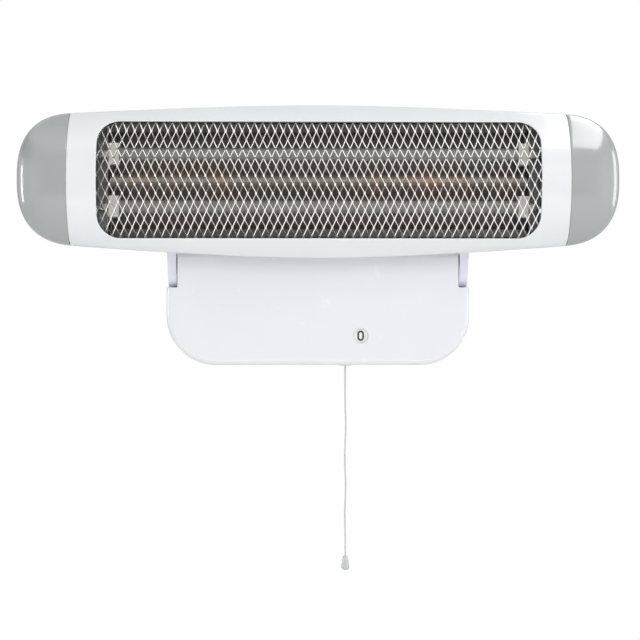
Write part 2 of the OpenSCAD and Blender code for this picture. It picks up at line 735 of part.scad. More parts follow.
module head_terminal_block() color("#ded9cc") difference() {
    union() {
        box(head_block_x - 24, head_block_x + 24, shield_seat + 0.2, shield_seat + 14,
            head_block_z - 10, head_block_z + 10);
        box(head_block_x - 28, head_block_x + 28, shield_seat + 0.2, shield_seat + 3,
            head_block_z - 4, head_block_z + 4);
    }
    for (x = [-18, -6, 6, 18]) translate([head_block_x + x, 0, 0]) {
        rod_y(shield_seat + 6, shield_seat + 15, 0, head_block_z, 5);
        translate([0, shield_seat + 6, head_block_z - 11]) cylinder(d = 3.4, h = 22);
    }
}

module thermal_cutout() color("#7d7468") {
    rod_y(shield_seat + 0.2, shield_seat + 8, cutout_x, head_z, 16);
    box(cutout_x - 12, cutout_x + 12, shield_seat + 0.2, shield_seat + 1.2, head_z - 5, head_z + 5);
    for (s = [-1, 1])
        box(cutout_x + s * 5 - 0.4, cutout_x + s * 5 + 0.4, shield_seat + 7.9, shield_seat + 15,
            head_z - 3, head_z + 3);
}

module head_wires() color("#d8d2c4") for (r = wire_routes)
    swept(smooth_route(r, 3), 2, 6, [0.2, 0.3, 0.9]);

module hinge_lead() color("#3c3f44")
    swept(smooth_route(lead_route, 3), lead_d, 8, [0.1, -0.9, 0.5]);

module shell_screws() color("#c0c4c8") for (p = shell_points)
    screw_y(p[0], shell_seat, p[1], shell_screw_l);

// Arms and hinge

// The arm's straight flanks are tangent to its two round ends
module arm_outline(grow) {
    run = [arm_top_y - hinge_y, arm_top_z - hinge_z];
    reach = norm(run);
    lean = atan2(run[1], run[0]);
    open = acos((arm_r - arm_top_r) / reach);
    low = arm_r + grow;
    top = arm_top_r + grow;
    translate([hinge_y, hinge_z]) circle(low);
    translate([arm_top_y, arm_top_z]) circle(top);
    translate([hinge_y, hinge_z]) rotate(lean) polygon([
        [low * cos(open), low * sin(open)], [low * cos(open), -low * sin(open)],
        [reach + top * cos(open), -top * sin(open)], [reach + top * cos(open), top * sin(open)]
    ]);
}

module arm_channel(w) {
    run = [arm_top_y - hinge_y, arm_top_z - hinge_z];
    translate([hinge_y, hinge_z]) {
        circle(sleeve_flange_d / 2 + 0.4);
        rotate(atan2(run[1], run[0])) translate([0, -w / 2]) square([norm(run) + 20, w]);
    }
}

module arm() {
    difference() {
        union() {
            along_x(arm_in, arm_out) arm_outline(0);
            rod_x(bracket_out + washer_t + 0.2, arm_in + 0.5, hinge_y, hinge_z, arm_boss_d);
            box(flange_in, arm_in + 0.5, flange_front, flange_front + flange_t,
                arm_top_z - flange_half, arm_top_z + flange_half);
        }
        rod_x(bracket_out, arm_out, hinge_y, hinge_z, sleeve_d + 2 * running);
        along_x(arm_in + arm_wall, arm_out - arm_cover_t) arm_channel(6);
        along_x(arm_out - arm_cover_t, arm_out + 1) arm_outline(-2);
        for (z = arm_screw_z) screw_hole_y(flange_front - 1, flange_front + flange_t + 1, arm_screw_x, z);
    }
}
module arm_right() color("#dcdce8") arm();
module arm_left() color("#dcdce8") mirror([1, 0, 0]) arm();

module arm_cover() along_x(arm_out - arm_cover_t + 0.05, arm_out) arm_outline(-2.15);
module arm_cover_right() color("#e2e2ea") arm_cover();
module arm_cover_left() color("#e2e2ea") mirror([1, 0, 0]) arm_cover();

module arm_screws() color("#c0c4c8") for (sx = [-1, 1], z = arm_screw_z)
    screw_y(sx * arm_screw_x, arm_screw_seat, z, arm_screw_l);

nut_in = bracket_out - bracket_t - 2 * washer_t - 0.6 - nut_t;
module pivot_sleeve() difference() {
    union() {
        rod_x(nut_in - 1, arm_in + arm_wall + 0.5, hinge_y, hinge_z, sleeve_d);
        rod_x(arm_in + arm_wall + 0.02, arm_in + arm_wall + sleeve_flange_t, hinge_y, hinge_z,
            sleeve_flange_d);
    }
    rod_x(nut_in - 2, arm_out, hinge_y, hinge_z, sleeve_bore);
}
module pivot_sleeve_right() color("#c4c6c8") pivot_sleeve();
module pivot_sleeve_left() color("#c4c6c8") mirror([1, 0, 0]) pivot_sleeve();

module ring_x(x0, x1, d_out, d_in) difference() {
    rod_x(x0, x1, hinge_y, hinge_z, d_out);
    rod_x(x0 - 1, x1 + 1, hinge_y, hinge_z, d_in);
}

module friction_washers() color("#7a4a32") both_sides() {
    ring_x(bracket_out + 0.05, bracket_out + 0.05 + washer_t, arm_boss_d, sleeve_d + 4 * running);
    ring_x(bracket_out - bracket_t - washer_t - 0.05, bracket_out - bracket_t - 0.05, 18,
        sleeve_d + 4 * running);
}

module spring_washers() color("#b9bdc2") both_sides()
    ring_x(nut_in + nut_t + 0.1, bracket_out - bracket_t - washer_t - 0.2, 17,
        sleeve_d + 2 * running);

module pivot_nuts() color("#c4c6c8") both_sides() difference() {
    translate([nut_in, hinge_y, hinge_z]) rotate([0, 90, 0])
        cylinder(d = nut_w / cos(30), h = nut_t, $fn = 6);
    rod_x(nut_in - 1, nut_in + nut_t + 1, hinge_y, hinge_z, sleeve_d + 2 * running);
}

module pivot_bracket() difference() {
    union() {
        box(bracket_out - bracket_t, bracket_out, hinge_y - 14, plate_front - seat, hinge_z - 13,
            hinge_z + 13);
        box(bracket_out - 22, bracket_out - 1, plate_front - seat - bracket_t, plate_front - seat,
            hinge_z - 13, hinge_z + 13);
    }
    rod_x(bracket_out - bracket_t - 1, bracket_out + 1, hinge_y, hinge_z, sleeve_d + 2 * running);
    for (s = [-1, 1])
        screw_hole_y(plate_front - seat - bracket_t - 1, plate_front + 1, bracket_out - 14,
            hinge_z + s * 8);
}
module pivot_bracket_right() color("#b4b7b8") pivot_bracket();
module pivot_bracket_left() color("#b4b7b8") mirror([1, 0, 0]) pivot_bracket();

// Screw that points to +Y into the back plate, with its head's seat at y
module plate_screw(x, y, z) translate([x, y, z]) rotate([-90, 0, 0]) {
    cylinder(d = screw_d, h = -y - 0.4);
    translate([0, 0, -screw_head_t]) difference() {
        cylinder(d = screw_head_d, h = screw_head_t + 0.01);
        translate([-2, -0.4, -1]) cube([4, 0.8, 2]);
        translate([-0.4, -2, -1]) cube([0.8, 4, 2]);
    }
}

module bracket_screws() color("#c0c4c8") both_sides() for (s = [-1, 1])
    plate_screw(bracket_out - 14, plate_front - seat - bracket_t - 0.05, hinge_z + s * 8);

// Base

// Outline of the base, set in by i, without the slots for the arms
module base_full(i) {
    hw = base_w / 2 - i;
    low = -base_bottom + i;
    r = base_r - i;
    cr = 8 - min(i, 5);
    translate([-hw, low + r]) square([2 * hw, base_top - i - low - r - cr]);
    translate([-hw + r, low]) square([2 * (hw - r), r + 1]);
    translate([-hw + cr, base_top - i - cr - 1]) square([2 * (hw - cr), cr + 1]);
    for (s = [-1, 1]) {
        translate([s * (hw - r), low + r]) circle(r);
        translate([s * (hw - cr), base_top - i - cr]) circle(cr);
    }
}

// The same with the slots for the arms
module base_outline(i) difference() {
    base_full(i);
    for (s = [-1, 1])
        translate([s > 0 ? neck_x - i : -neck_x + i - 40, shoulder_z - i]) square([40, 80]);
}

module base_front_shell() color("#eceef5") difference() {
    union() {
        difference() {
            hull() {
                along_y(base_front + base_edge, 0) base_full(0);
                along_y(base_front + 0.3 * base_edge, -1) base_full(0.3 * base_edge);
                along_y(base_front, -1) base_full(base_edge);
            }
            for (s = [-1, 1])
                box(s > 0 ? neck_x : -neck_x - 40, s > 0 ? neck_x + 40 : -neck_x, base_front - 1, 1,
                    shoulder_z, base_top + 1);
            along_y(base_front + base_edge + 1, 1) base_outline(wall);
            along_y(base_front + wall, 1) base_outline(base_edge);
        }
        for (p = boss_points) rod_y(base_front + 1, plate_front - seat, p[0], p[1], boss_d);
        translate([window_x, base_front + 1, window_z]) rotate([-90, 0, 0])
            cylinder(d = window_d + 4, h = 2.2);
    }
    rod_y(base_front - 1, base_front + 5, window_x, window_z, window_d + 2 * slack);
    for (p = boss_points) screw_hole_y(plate_front - 13, 0, p[0], p[1]);
    both_sides() rod_x(neck_x - wall - 1, neck_x + 1, hinge_y, hinge_z, arm_boss_d + 1);
    translate([cord_x, drum_y, -base_bottom - 1]) cylinder(d = bush_d + 2 * slack, h = wall + 4);
}

module base_back_plate() color("#dfe2e6") difference() {
    union() {
        along_y(plate_front, 0) base_outline(wall + seat);
    }
    for (sx = [-1, 1], sz = [-1, 1])
        rod_y(plate_front - 1, 1, sx * wall_hole_x / 2, sz * wall_hole_z / 2, wall_hole_d);
    for (p = boss_points) {
        screw_hole_y(plate_front - 1, 1, p[0], p[1]);
        rod_y(-screw_head_t - 0.2, 1, p[0], p[1], screw_head_d + 0.6);
    }
    for (sx = [-1, 1], s = [-1, 1])
        screw_hole_y(plate_front - 1, 1, sx * (bracket_out - 14), hinge_z + s * 8);
    for (s = [-1, 1])
        screw_hole_y(plate_front - 1, 1, switch_x + s * lug_x, switch_z);
    for (s = [-1, 1])
        screw_hole_y(plate_front - 1, 1, block_x + s * (block_l / 2 + 4), block_z);
    rod_y(plate_front - 1, 1, inlet_x, inlet_z, inlet_d + 5 + 2 * slack);
}

module base_screws() color("#c0c4c8") for (p = boss_points)
    screw_y(p[0], -screw_head_t - 0.15, p[1], 12);

module indicator_window() color([0.86, 0.9, 0.92, 0.4]) {
    rod_y(base_front + 0.2, base_front + wall + 0.9, window_x, window_z, window_d);
}

module cable_grommet() color("#3a3b3d") difference() {
    union() {
        rod_y(plate_front - 2, -0.2, inlet_x, inlet_z, inlet_d + 5);
        rod_y(plate_front - 3.6, plate_front - 0.1, inlet_x, inlet_z, inlet_d + 9);
    }
    rod_y(plate_front - 5, 1, inlet_x, inlet_z, inlet_d);
}

module mains_terminal_block() color("#e4e0d4") difference() {
    union() {
        box(block_x - block_l / 2, block_x + block_l / 2, plate_front - 17, plate_front - seat,
            block_z - 9, block_z + 9);
        box(block_x - block_l / 2 - 8, block_x + block_l / 2 + 8, plate_front - 4,
            plate_front - seat, block_z - 4, block_z + 4);
    }
    for (i = [-1.5:1:1.5]) {
        rod_y(plate_front - 18, plate_front - 8, block_x + i * 10, block_z, 5);
        translate([block_x + i * 10, plate_front - 8, block_z - 10]) cylinder(d = 3.6, h = 20);
    }
    for (s = [-1, 1])
        screw_hole_y(plate_front - 5, 1, block_x + s * (block_l / 2 + 4), block_z);
}

module base_lead() color("#3c3f44")
    swept(smooth_route(base_lead_route, 3), lead_d, 8, [0.1, 0.9, 0.2]);

base_wire_z = [8, 2, -4];
module base_wires() color("#8a5a3a") for (i = [0:2]) {
    z = base_wire_z[i];
    swept(smooth_route([
        [block_x - 5 + 10 * i, plate_front - 10, block_z + 9.5], [block_x - 4 + 10 * i, plate_front - 10, -8],
        [block_x + 12 + 6 * i, plate_front - 9, z], [block_x + 40, plate_front - 8, z + 1],
        [4, plate_front - 9, z - 4], [switch_x - housing_r - 1.5, plate_front - 9, z - 6]
    ], 3), 2, 6, [0.2, 0.9, 0.4]);
}

// Switch

lug_x = housing_r + 6;
module switch_housing() color("#d9d4c8") difference() {
    union() {
        rod_y(housing_front, plate_front - seat, switch_x, switch_z, 2 * housing_r);
        box(switch_x - lug_x - 5, switch_x + lug_x + 5, plate_front - seat - 3, plate_front - seat,
            switch_z - 5, switch_z + 5);
    }
    rod_y(housing_front - 1, plate_front - 3.5, switch_x, switch_z, 2 * (housing_r - housing_wall));
    rod_y(plate_front - 4, 0, switch_x, switch_z, stub_end_d + 2 * running);
    for (s = [-1, 1])
        screw_hole_y(plate_front - 5, 1, switch_x + s * lug_x, switch_z);
    // Ways out for the cord and the wires
    box(cord_x - 3, cord_x + 3, drum_y - 4, drum_y + 4, switch_z - housing_r - 1, switch_z - 8);
    box(switch_x - housing_r - 1, switch_x - housing_r + 4, plate_front - 12, plate_front - 6,
        switch_z - 7, switch_z + 14);
}

module switch_cover() color("#cfcabe") difference() {
    rod_y(housing_front - cover_t - 0.05, housing_front - 0.05, switch_x, switch_z, 2 * housing_r);
    rod_y(housing_front - 4, housing_front + 1, switch_x, switch_z, spindle_d + 2 * running);
}

module switch_screws() color("#c0c4c8") {
    for (s = [-1, 1])
        plate_screw(switch_x + s * lug_x, plate_front - seat - 3.05, switch_z);
    for (s = [-1, 1])
        plate_screw(block_x + s * (block_l / 2 + 4), plate_front - 4.05, block_z);
}

// Three brass leaves that press on the cam, each with a foot on the housing's floor
module switch_contacts() color("#c8a04a") for (a = [90, 210, 330])
    translate([switch_x, 0, switch_z]) rotate([0, a, 0]) {
        box(9, 13, plate_front - 4.4, plate_front - 3.6, -2, 2);
        box(12.2, 13, plate_front - 7.6, plate_front - 4.3, -2, 2);
        box(6.1, 13, plate_front - 7.6, plate_front - 6.9, -2, 2);
    }

ratchet_back = plate_front - 9;
ratchet_r = 9;
ratchet_teeth = 12;
module switch_spindle() color("#b8b2a4") {
    rod_y(disc_front + disc_t - 0.5, plate_front - 4.2, switch_x, switch_z, spindle_d);
    rod_y(plate_front - 4.5, -plate_t - 0.6, switch_x, switch_z, stub_end_d);
    // Cam under the contacts' leaves
    rod_y(plate_front - 8, plate_front - 5.5, switch_x, switch_z, 11.6);
    // Ratchet wheel
    along_y(ratchet_back - 3, ratchet_back) translate([switch_x, switch_z]) difference() {
        circle(ratchet_r);
        for (i = [0:ratchet_teeth - 1]) rotate(i * 360 / ratchet_teeth)
            translate([ratchet_r - 1.4, 0]) rotate(20) square([4, 1.6]);
    }
}

// Flat spiral spring, wound as a strip of even thickness
spring_turns = 3;
spring_in = 6.5;
spring_out = housing_r - housing_wall - 0.8;
spring_t = 0.5;
spring_steps = 72;
function spiral(k, off) =
    let (
        a = 360 * spring_turns * k / spring_steps,
        r = spring_in + (spring_out - spring_in) * k / spring_steps + off
    )
    [r * cos(a), r * sin(a)];
module return_spring() color("#8c9096")
    along_y(drum_y + drum_l / 2 + 0.4, drum_y + drum_l / 2 + 2.4) translate([switch_x, switch_z])
        polygon(concat(
            [for (k = [0:spring_steps]) spiral(k, 0)],
            [for (k = [spring_steps:-1:0]) spiral(k, spring_t)]
        ));

module cord_drum() color("#efeadf") difference() {
    union() {
        rod_y(drum_y - drum_l / 2, drum_y + drum_l / 2, switch_x, switch_z, 2 * (drum_r - cord_d / 2 - 0.1));
        for (s = [-1, 1])
            rod_y(drum_y + s * (drum_l / 2 - 1) - 1, drum_y + s * (drum_l / 2 - 1) + 1, switch_x,
                switch_z, 2 * flange_r);
    }
    rod_y(drum_y - 9, drum_y + 9, switch_x, switch_z, spindle_d + 2 * running);
}

module drum_winding() color("#d8d8d6")
    translate([switch_x, drum_y, switch_z]) rotate([90, 0, 0])
        rotate([0, 0, 180 - cord_turn - 4]) rotate_extrude(angle = cord_turn)
            translate([drum_r, 0]) circle(d = cord_d);

module pull_cord() color("#d2d4d6") {
    swept(smooth_route([for (p = cord_route) [cord_x + p[0], drum_y, p[1]]], 3), cord_d, 8,
        [0, 1, 0]);
    // Knot under the bell's bore
    translate([cord_x + 0.2, drum_y, knot_z]) rotate_extrude() scale(cord_d) polygon([
        [0, -1.05], [0.7, -1.05], [1.05, -0.55], [1.05, 0.4], [0.7, 0.95], [0, 0.95]
    ]);
}

module cord_bell() color("#c8cacb")
    translate([cord_x + 0.2, drum_y, bell_top_z]) difference() {
        rotate_extrude() polygon([
            [0, 0], [bell_d * 0.27, 0], [bell_d * 0.31, -0.5], [bell_d * 0.36, -bell_l * 0.25],
            [bell_d * 0.43, -bell_l * 0.52], [bell_d * 0.49, -bell_l * 0.73],
            [bell_d * 0.5, -bell_l * 0.8], [bell_d * 0.46, -bell_l * 0.88],
            [bell_d * 0.37, -bell_l * 0.96], [bell_d * 0.3, -bell_l], [0, -bell_l]
        ]);
        translate([0, 0, -bell_l - 1]) cylinder(d = cord_d + 4 * slack, h = bell_l + 2);
        translate([0, 0, -bell_l - 1]) cylinder(d = bell_d * 0.5, h = bell_l * 0.5 + 0.6);
    }

module cord_bush() color("#e6e8ec")
    translate([cord_x, drum_y, -base_bottom]) difference() {
        union() {
            translate([0, 0, -1.2]) cylinder(d = bush_d + 3, h = 1.1);
            translate([0, 0, -0.2]) cylinder(d = bush_d, h = wall + 1.5);
        }
        translate([0, 0, -3]) cylinder(d = cord_d + 2 * gap, h = 10);
    }

// Disc with the switch positions 0, 1 and 2
module indicator_disc() color("#f4f4f2") difference() {
    rod_y(disc_front, disc_front + disc_t, switch_x, switch_z, 2 * disc_r);
    rod_y(disc_front + disc_t - 0.55, disc_front + disc_t + 1, switch_x, switch_z, spindle_d + 0.1);
}

stroke = 1.8;
num_w = numeral_h * 0.66;
module zero_shape() difference() {
    translate([0, 0]) round_rect(num_w, numeral_h, num_w / 2 - 0.01);
    round_rect(num_w - 2 * stroke, numeral_h - 2 * stroke, num_w / 2 - stroke - 0.01);
}
module one_shape() {
    translate([-stroke / 2 + 0.6, -numeral_h / 2]) square([stroke, numeral_h]);
    translate([-num_w / 2 + 0.6, numeral_h / 2 - 2.6]) rotate(38) square([3.4, stroke]);
}
module two_shape() {
    translate([-num_w / 2, -numeral_h / 2]) square([num_w, stroke]);
    translate([-num_w / 2 + 0.3, -numeral_h / 2 + 0.5]) rotate(44) square([numeral_h * 0.72, stroke]);
    translate([0, numeral_h / 2 - num_w / 2]) difference() {
        circle(num_w / 2);
        circle(num_w / 2 - stroke);
        rotate(-30) translate([-num_w, -num_w]) square([2 * num_w, num_w]);
    }
}
module indicator_numerals() color("#33363a")
    along_y(disc_front - numeral_t, disc_front - 0.01) for (i = [0:2])
        translate([switch_x, switch_z]) rotate(120 * i)
            translate([window_x - switch_x, window_z - switch_z]) {
                if (i == 0) zero_shape();
                if (i == 1) one_shape();
                if (i == 2) two_shape();
            }

head_front_shell();
head_rear_shell();
end_cap_left();
end_cap_right();
guard_grille();
reflector();
heat_shield();
shield_screws();
tube_bracket_left();
tube_bracket_right();
quartz_tube_upper();
quartz_tube_lower();
heating_coil_upper();
heating_coil_lower();
ceramic_ends_left();
ceramic_ends_right();
tube_terminals();
head_terminal_block();
thermal_cutout();
head_wires();
hinge_lead();
shell_screws();
arm_left();
arm_right();
arm_cover_left();
arm_cover_right();
arm_screws();
pivot_sleeve_left();
pivot_sleeve_right();
spring_washers();
pivot_nuts();
friction_washers();
pivot_bracket_left();
pivot_bracket_right();
bracket_screws();
base_front_shell();
base_back_plate();
base_screws();
indicator_window();
indicator_disc();
indicator_numerals();
switch_spindle();
switch_housing();
switch_cover();
switch_contacts();
switch_screws();
return_spring();
cord_drum();
drum_winding();
pull_cord();
cord_bell();
cord_bush();
mains_terminal_block();
cable_grommet();
base_wires();
base_lead();
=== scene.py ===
"""Looks of the wall-mounted radiant heater. Lengths are written in millimetres and scaled once."""

import math

import bmesh
import bpy
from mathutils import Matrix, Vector


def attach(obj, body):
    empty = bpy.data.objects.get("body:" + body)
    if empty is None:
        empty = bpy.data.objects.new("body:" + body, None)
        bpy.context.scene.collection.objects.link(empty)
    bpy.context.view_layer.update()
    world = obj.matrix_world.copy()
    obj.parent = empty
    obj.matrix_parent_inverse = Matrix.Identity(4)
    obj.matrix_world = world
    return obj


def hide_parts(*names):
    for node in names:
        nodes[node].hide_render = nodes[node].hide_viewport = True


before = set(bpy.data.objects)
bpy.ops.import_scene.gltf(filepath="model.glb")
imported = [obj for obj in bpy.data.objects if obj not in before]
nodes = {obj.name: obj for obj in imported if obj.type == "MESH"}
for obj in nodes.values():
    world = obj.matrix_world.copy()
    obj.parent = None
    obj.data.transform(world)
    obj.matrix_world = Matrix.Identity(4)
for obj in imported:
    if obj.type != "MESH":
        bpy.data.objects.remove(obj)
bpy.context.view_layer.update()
MM = 0.001


# Camera, fitted to the photograph: at CAM_DIST a millimetre covers one pixel
IMAGE_W = 640.0
SENSOR_W = 36.0
CAM_X = -24.5
CAM_Y = -1588.0
CAM_Z = -5.1
CAM_YAW = -0.98
CAM_DIST = 1503.3
camera_data = bpy.data.cameras.new("camera")
camera_data.sensor_width = SENSOR_W
camera_data.lens = SENSOR_W * CAM_DIST / IMAGE_W
camera_data.clip_start = 0.05
camera_data.clip_end = 50.0
camera = bpy.data.objects.new("camera", camera_data)
bpy.context.scene.collection.objects.link(camera)
camera.location = (CAM_X * MM, CAM_Y * MM, CAM_Z * MM)
camera.rotation_euler = (math.radians(90), 0.0, math.radians(CAM_YAW))
bpy.context.scene.camera = camera


# Sizes shared with the part's source
SEAM_X = 246.5
CAP_W = 52.5
HEAD_Z = 133.0
HALF_H = 76.0
HEAD_BOW = 20.8
BOW_REACH = 150.0
HEAD_RISE = 1.6
SPLIT_Y = -88.01
FRONT_R = 100.0
FRONT_DEPTH = 37.01
FRONT_CY = -25.0
REAR_R = 85.78
REAR_DEPTH = 46.0
EDGE_POWER = 6.0
CAP_EDGE_POWER = 3.0
CAP_POWER = 2.5
CAP_TAPER = 0.0013
WALL = 2.5
VENT_PITCH = 34.0
VENT_L = 26.0
VENT_H = 3.2
WELL_D = 6.8
ARM_SLACK = 0.3
OPEN_W = 435.0
OPEN_H = 115.0
OPEN_R = 21.5
LIP_R = 0.9
GROOVE_W = 1.1
GROOVE_D = 0.55
GRILLE_R = 96.0
GRILLE_T = 1.2
TUBE_Y = -96.0
TUBE_GAP = 52.0
TUBE_D = 13.0
TROUGH_R = 22.0
SHEET_T = 0.8
REFLECTOR_L = 413.0
TUBE_LEN = 395.0
CERAMIC_L = 10.0
HINGE_Y = -25.0
HINGE_Z = 43.0
ARM_IN = 145.5
ARM_T = 9.0
ARM_R = 14.0
ARM_TOP_R = 10.0
ARM_TOP_Y = -59.6
ARM_TOP_Z = 108.0
ARM_BOSS_D = 16.0
BASE_W = 311.0
BASE_TOP = 64.0
BASE_BOTTOM = 51.5
BASE_DEPTH = 48.0
BASE_R = 51.0
BASE_EDGE = 6.0
BASE_CORNER_R = 2.5
NECK_X = 144.5
SHOULDER_Z = 28.7
SWITCH_X = 36.5
SWITCH_Z = -9.0
WINDOW_D = 15.5
WINDOW_R = 14.2
WINDOW_TURN = 30.5
CORD_D = 1.6
BUSH_D = 9.2
DRUM_Y = -22.0
DRUM_R = 8.0
BELL_TOP = -251.0
BELL_L = 14.6
BELL_D = 8.6


def mid_z(x):
    """Middle height of the head's outline."""
    return HEAD_Z + HEAD_RISE * (x / SEAM_X) ** 2


def bow(x):
    return math.sqrt(1 + (x / BOW_REACH) ** 2) - 1


def half_at(x):
    """Half height of the head's outline, less towards the ends."""
    return HALF_H - HEAD_BOW / 2 * bow(x) / bow(SEAM_X)


def edge_fall(s, power=EDGE_POWER):
    return max(0.0, 1.0 - min(abs(s), 1.0) ** power) ** (1.0 / power)


def arc_rise(r, depth, z, w):
    return max(0.0, math.sqrt(max(0.0, (r - w) ** 2 - (z - HEAD_Z) ** 2)) - (r - depth))


def face_y(rear, z, s, w=0.0, power=EDGE_POWER):
    """Depth of the front or rear skin, or of its inner side at wall w; s is -1 to 1 over the height."""
    if rear:
        return SPLIT_Y + arc_rise(REAR_R, REAR_DEPTH, z, w) * edge_fall(s, power)
    return SPLIT_Y - arc_rise(FRONT_R, FRONT_DEPTH, z, w) * edge_fall(s, power)


def face_at(rear, x, z, w=0.0):
    return face_y(rear, z, (z - mid_z(x)) / (half_at(x) - w), w)


# Mesh helpers
def new_object(name, verts, faces, smooth=True):
    mesh = bpy.data.meshes.new(name)
    mesh.from_pydata([tuple(c * MM for c in v) for v in verts], [], faces)
    mesh.validate()
    mesh.update()
    for p in mesh.polygons:
        p.use_smooth = smooth
    obj = bpy.data.objects.new(name, mesh)
    bpy.context.scene.collection.objects.link(obj)
    return obj


def recalc(obj):
    bm = bmesh.new()
    bm.from_mesh(obj.data)
    bmesh.ops.remove_doubles(bm, verts=bm.verts, dist=1e-6)
    bmesh.ops.recalc_face_normals(bm, faces=bm.faces)
    bm.to_mesh(obj.data)
    bm.free()
    return obj


def sharp_by_angle(obj, degrees):
    """Smooth shading with sharp edges where faces meet at more than the angle."""
    bm = bmesh.new()
    bm.from_mesh(obj.data)
    limit = math.radians(degrees)
    for e in bm.edges:
        if len(e.link_faces) == 2:
            e.smooth = e.calc_face_angle() < limit
    for f in bm.faces:
        f.smooth = True
    bm.to_mesh(obj.data)
    bm.free()
    return obj


def loft(name, rings, closed=True, cap_ends=True, smooth=True):
    """Skin over rings of equal length."""
    n = len(rings[0])
    verts = [v for ring in rings for v in ring]
    faces = []
    for i in range(len(rings) - 1):
        for j in range(n if closed else n - 1):
            k = (j + 1) % n
            faces.append((i * n + j, i * n + k, (i + 1) * n + k, (i + 1) * n + j))
    if cap_ends:
        faces.append(tuple(range(n)))
        faces.append(tuple((len(rings) - 1) * n + j for j in reversed(range(n))))
    return recalc(new_object(name, verts, faces, smooth))


def lathe(name, profile, axis, centre, steps=64):
    """Turns a profile of (radius, along) about an axis through centre; closed by its own path."""
    rings = []
    for k in range(steps):
        a = 2 * math.pi * k / steps
        ring = []
        for r, t in profile:
            u, v = r * math.cos(a), r * math.sin(a)
            if axis == "x":
                p = (t, u, v)
            elif axis == "y":
                p = (u, t, v)
            else:
                p = (u, v, t)
            ring.append(tuple(p[i] + centre[i] for i in range(3)))
        rings.append(ring)
    n = len(profile)
    verts = [v for ring in rings for v in ring]
    faces = []
    for i in range(steps):
        m = (i + 1) % steps
        for j in range(n - 1):
            faces.append((i * n + j, i * n + j + 1, m * n + j + 1, m * n + j))
    return recalc(new_object(name, verts, faces))


def rounded_path(corners, steps=10):
    """Closed outline from corners (x, z, radius), each rounded by an arc of the same step count."""
    out = []
    n = len(corners)
    for i in range(n):
        p0 = Vector(corners[i - 1][:2])
        p1 = Vector(corners[i][:2])
        p2 = Vector(corners[(i + 1) % n][:2])
        r = corners[i][2]
        a = (p0 - p1).normalized()
        b = (p2 - p1).normalized()
        turn = a.angle(b)
        cut = r / math.tan(turn / 2)
        start = p1 + a * cut
        end = p1 + b * cut
        centre = p1 + (a + b).normalized() * (r / math.sin(turn / 2))
        a0 = math.atan2(start.y - centre.y, start.x - centre.x)
        a1 = math.atan2(end.y - centre.y, end.x - centre.x)
        d = (a1 - a0 + math.pi) % (2 * math.pi) - math.pi
        for k in range(steps + 1):
            t = a0 + d * k / steps
            out.append((centre.x + r * math.cos(t), centre.y + r * math.sin(t)))
    return out


def mirrored_copy(obj, name):
    mesh = obj.data.copy()
    other = bpy.data.objects.new(name, mesh)
    bpy.context.scene.collection.objects.link(other)
    for v in mesh.vertices:
        v.co.x = -v.co.x
    mesh.flip_normals()
    return other


def cut(obj, cutters, name):
    """Cuts the cutters, joined into one mesh, out of an object."""
    mod = obj.modifiers.new("cut", "BOOLEAN")
    mod.operation = "DIFFERENCE"
    mod.solver = "EXACT"
    mod.object = cutters
    depsgraph = bpy.context.evaluated_depsgraph_get()
    mesh = bpy.data.meshes.new_from_object(obj.evaluated_get(depsgraph))
    obj.modifiers.clear()
    obj.data = mesh
    bpy.data.objects.remove(cutters)
    obj.name = name
    return obj


def add_prism(verts, faces, near, far):
    """Closed prism between two outlines with the same number of points."""
    k = len(verts)
    n = len(near)
    verts.extend(near)
    verts.extend(far)
    faces.append(tuple(k + i for i in range(n)))
    faces.append(tuple(k + n + i for i in reversed(range(n))))
    for i in range(n):
        j = (i + 1) % n
        faces.append((k + i, k + n + i, k + n + j, k + j))


def circle(cx, cy, d, n):
    """Points of a circle, as pairs."""
    turns = [2 * math.pi * k / n for k in range(n)]
    return [(cx + d / 2 * math.cos(a), cy + d / 2 * math.sin(a)) for a in turns]


def slot_cutters(name, slots, rods, slabs):
    """Slots (x0, x1, z, height), rods (x, z, d, y0) and slabs (outline, x0, x1) for the rear wall."""
    verts, faces = [], []
    past_rear = SPLIT_Y + REAR_DEPTH + 5

    def through_depth(outline, y0):
        add_prism(verts, faces, [(x, y0, z) for x, z in outline], [(x, past_rear, z) for x, z in outline])

    for x0, x1, z, h in slots:
        outline = []
        for cx, a0 in ((x0 + h / 2, 90), (x1 - h / 2, -90)):
            for k in range(9):
                a = math.radians(a0 + 180 * k / 8)
                outline.append((cx + h / 2 * math.cos(a), z + h / 2 * math.sin(a)))
        through_depth(outline, SPLIT_Y + 6)
    for x, z, d, y0 in rods:
        through_depth(circle(x, z, d, 24), y0)
    for outline, x0, x1 in slabs:
        add_prism(verts, faces, [(x0, y, z) for y, z in outline], [(x1, y, z) for y, z in outline])
    return recalc(new_object(name, verts, faces, False))


# Materials
WHITE = (1.0, 1.0, 1.0, 1.0)


def map_range(tree, source, start, end, low=0.0, high=1.0):
    """Node that maps source from start..end to low..high and holds it beyond both ends."""
    n = tree.nodes.new("ShaderNodeMapRange")
    for key, value in (("From Min", start), ("From Max", end), ("To Min", low), ("To Max", high)):
        n.inputs[key].default_value = value
    tree.links.new(source, n.inputs["Value"])
    return n


def combine(tree, operation, a, b):
    """Result of a maths operation on two sockets, or on a socket and a number."""
    n = tree.nodes.new("ShaderNodeMath")
    n.operation = operation
    for i, value in enumerate((a, b)):
        if isinstance(value, float):
            n.inputs[i].default_value = value
        else:
            tree.links.new(value, n.inputs[i])
    return n.outputs[0]


def mix_colors(tree, factor, a, b):
    n = tree.nodes.new("ShaderNodeMix")
    n.data_type = "RGBA"
    tree.links.new(factor, n.inputs["Factor"])
    tree.links.new(a, n.inputs["A"])
    if isinstance(b, tuple):
        n.inputs["B"].default_value = b
    else:
        tree.links.new(b, n.inputs["B"])
    return n.outputs["Result"]


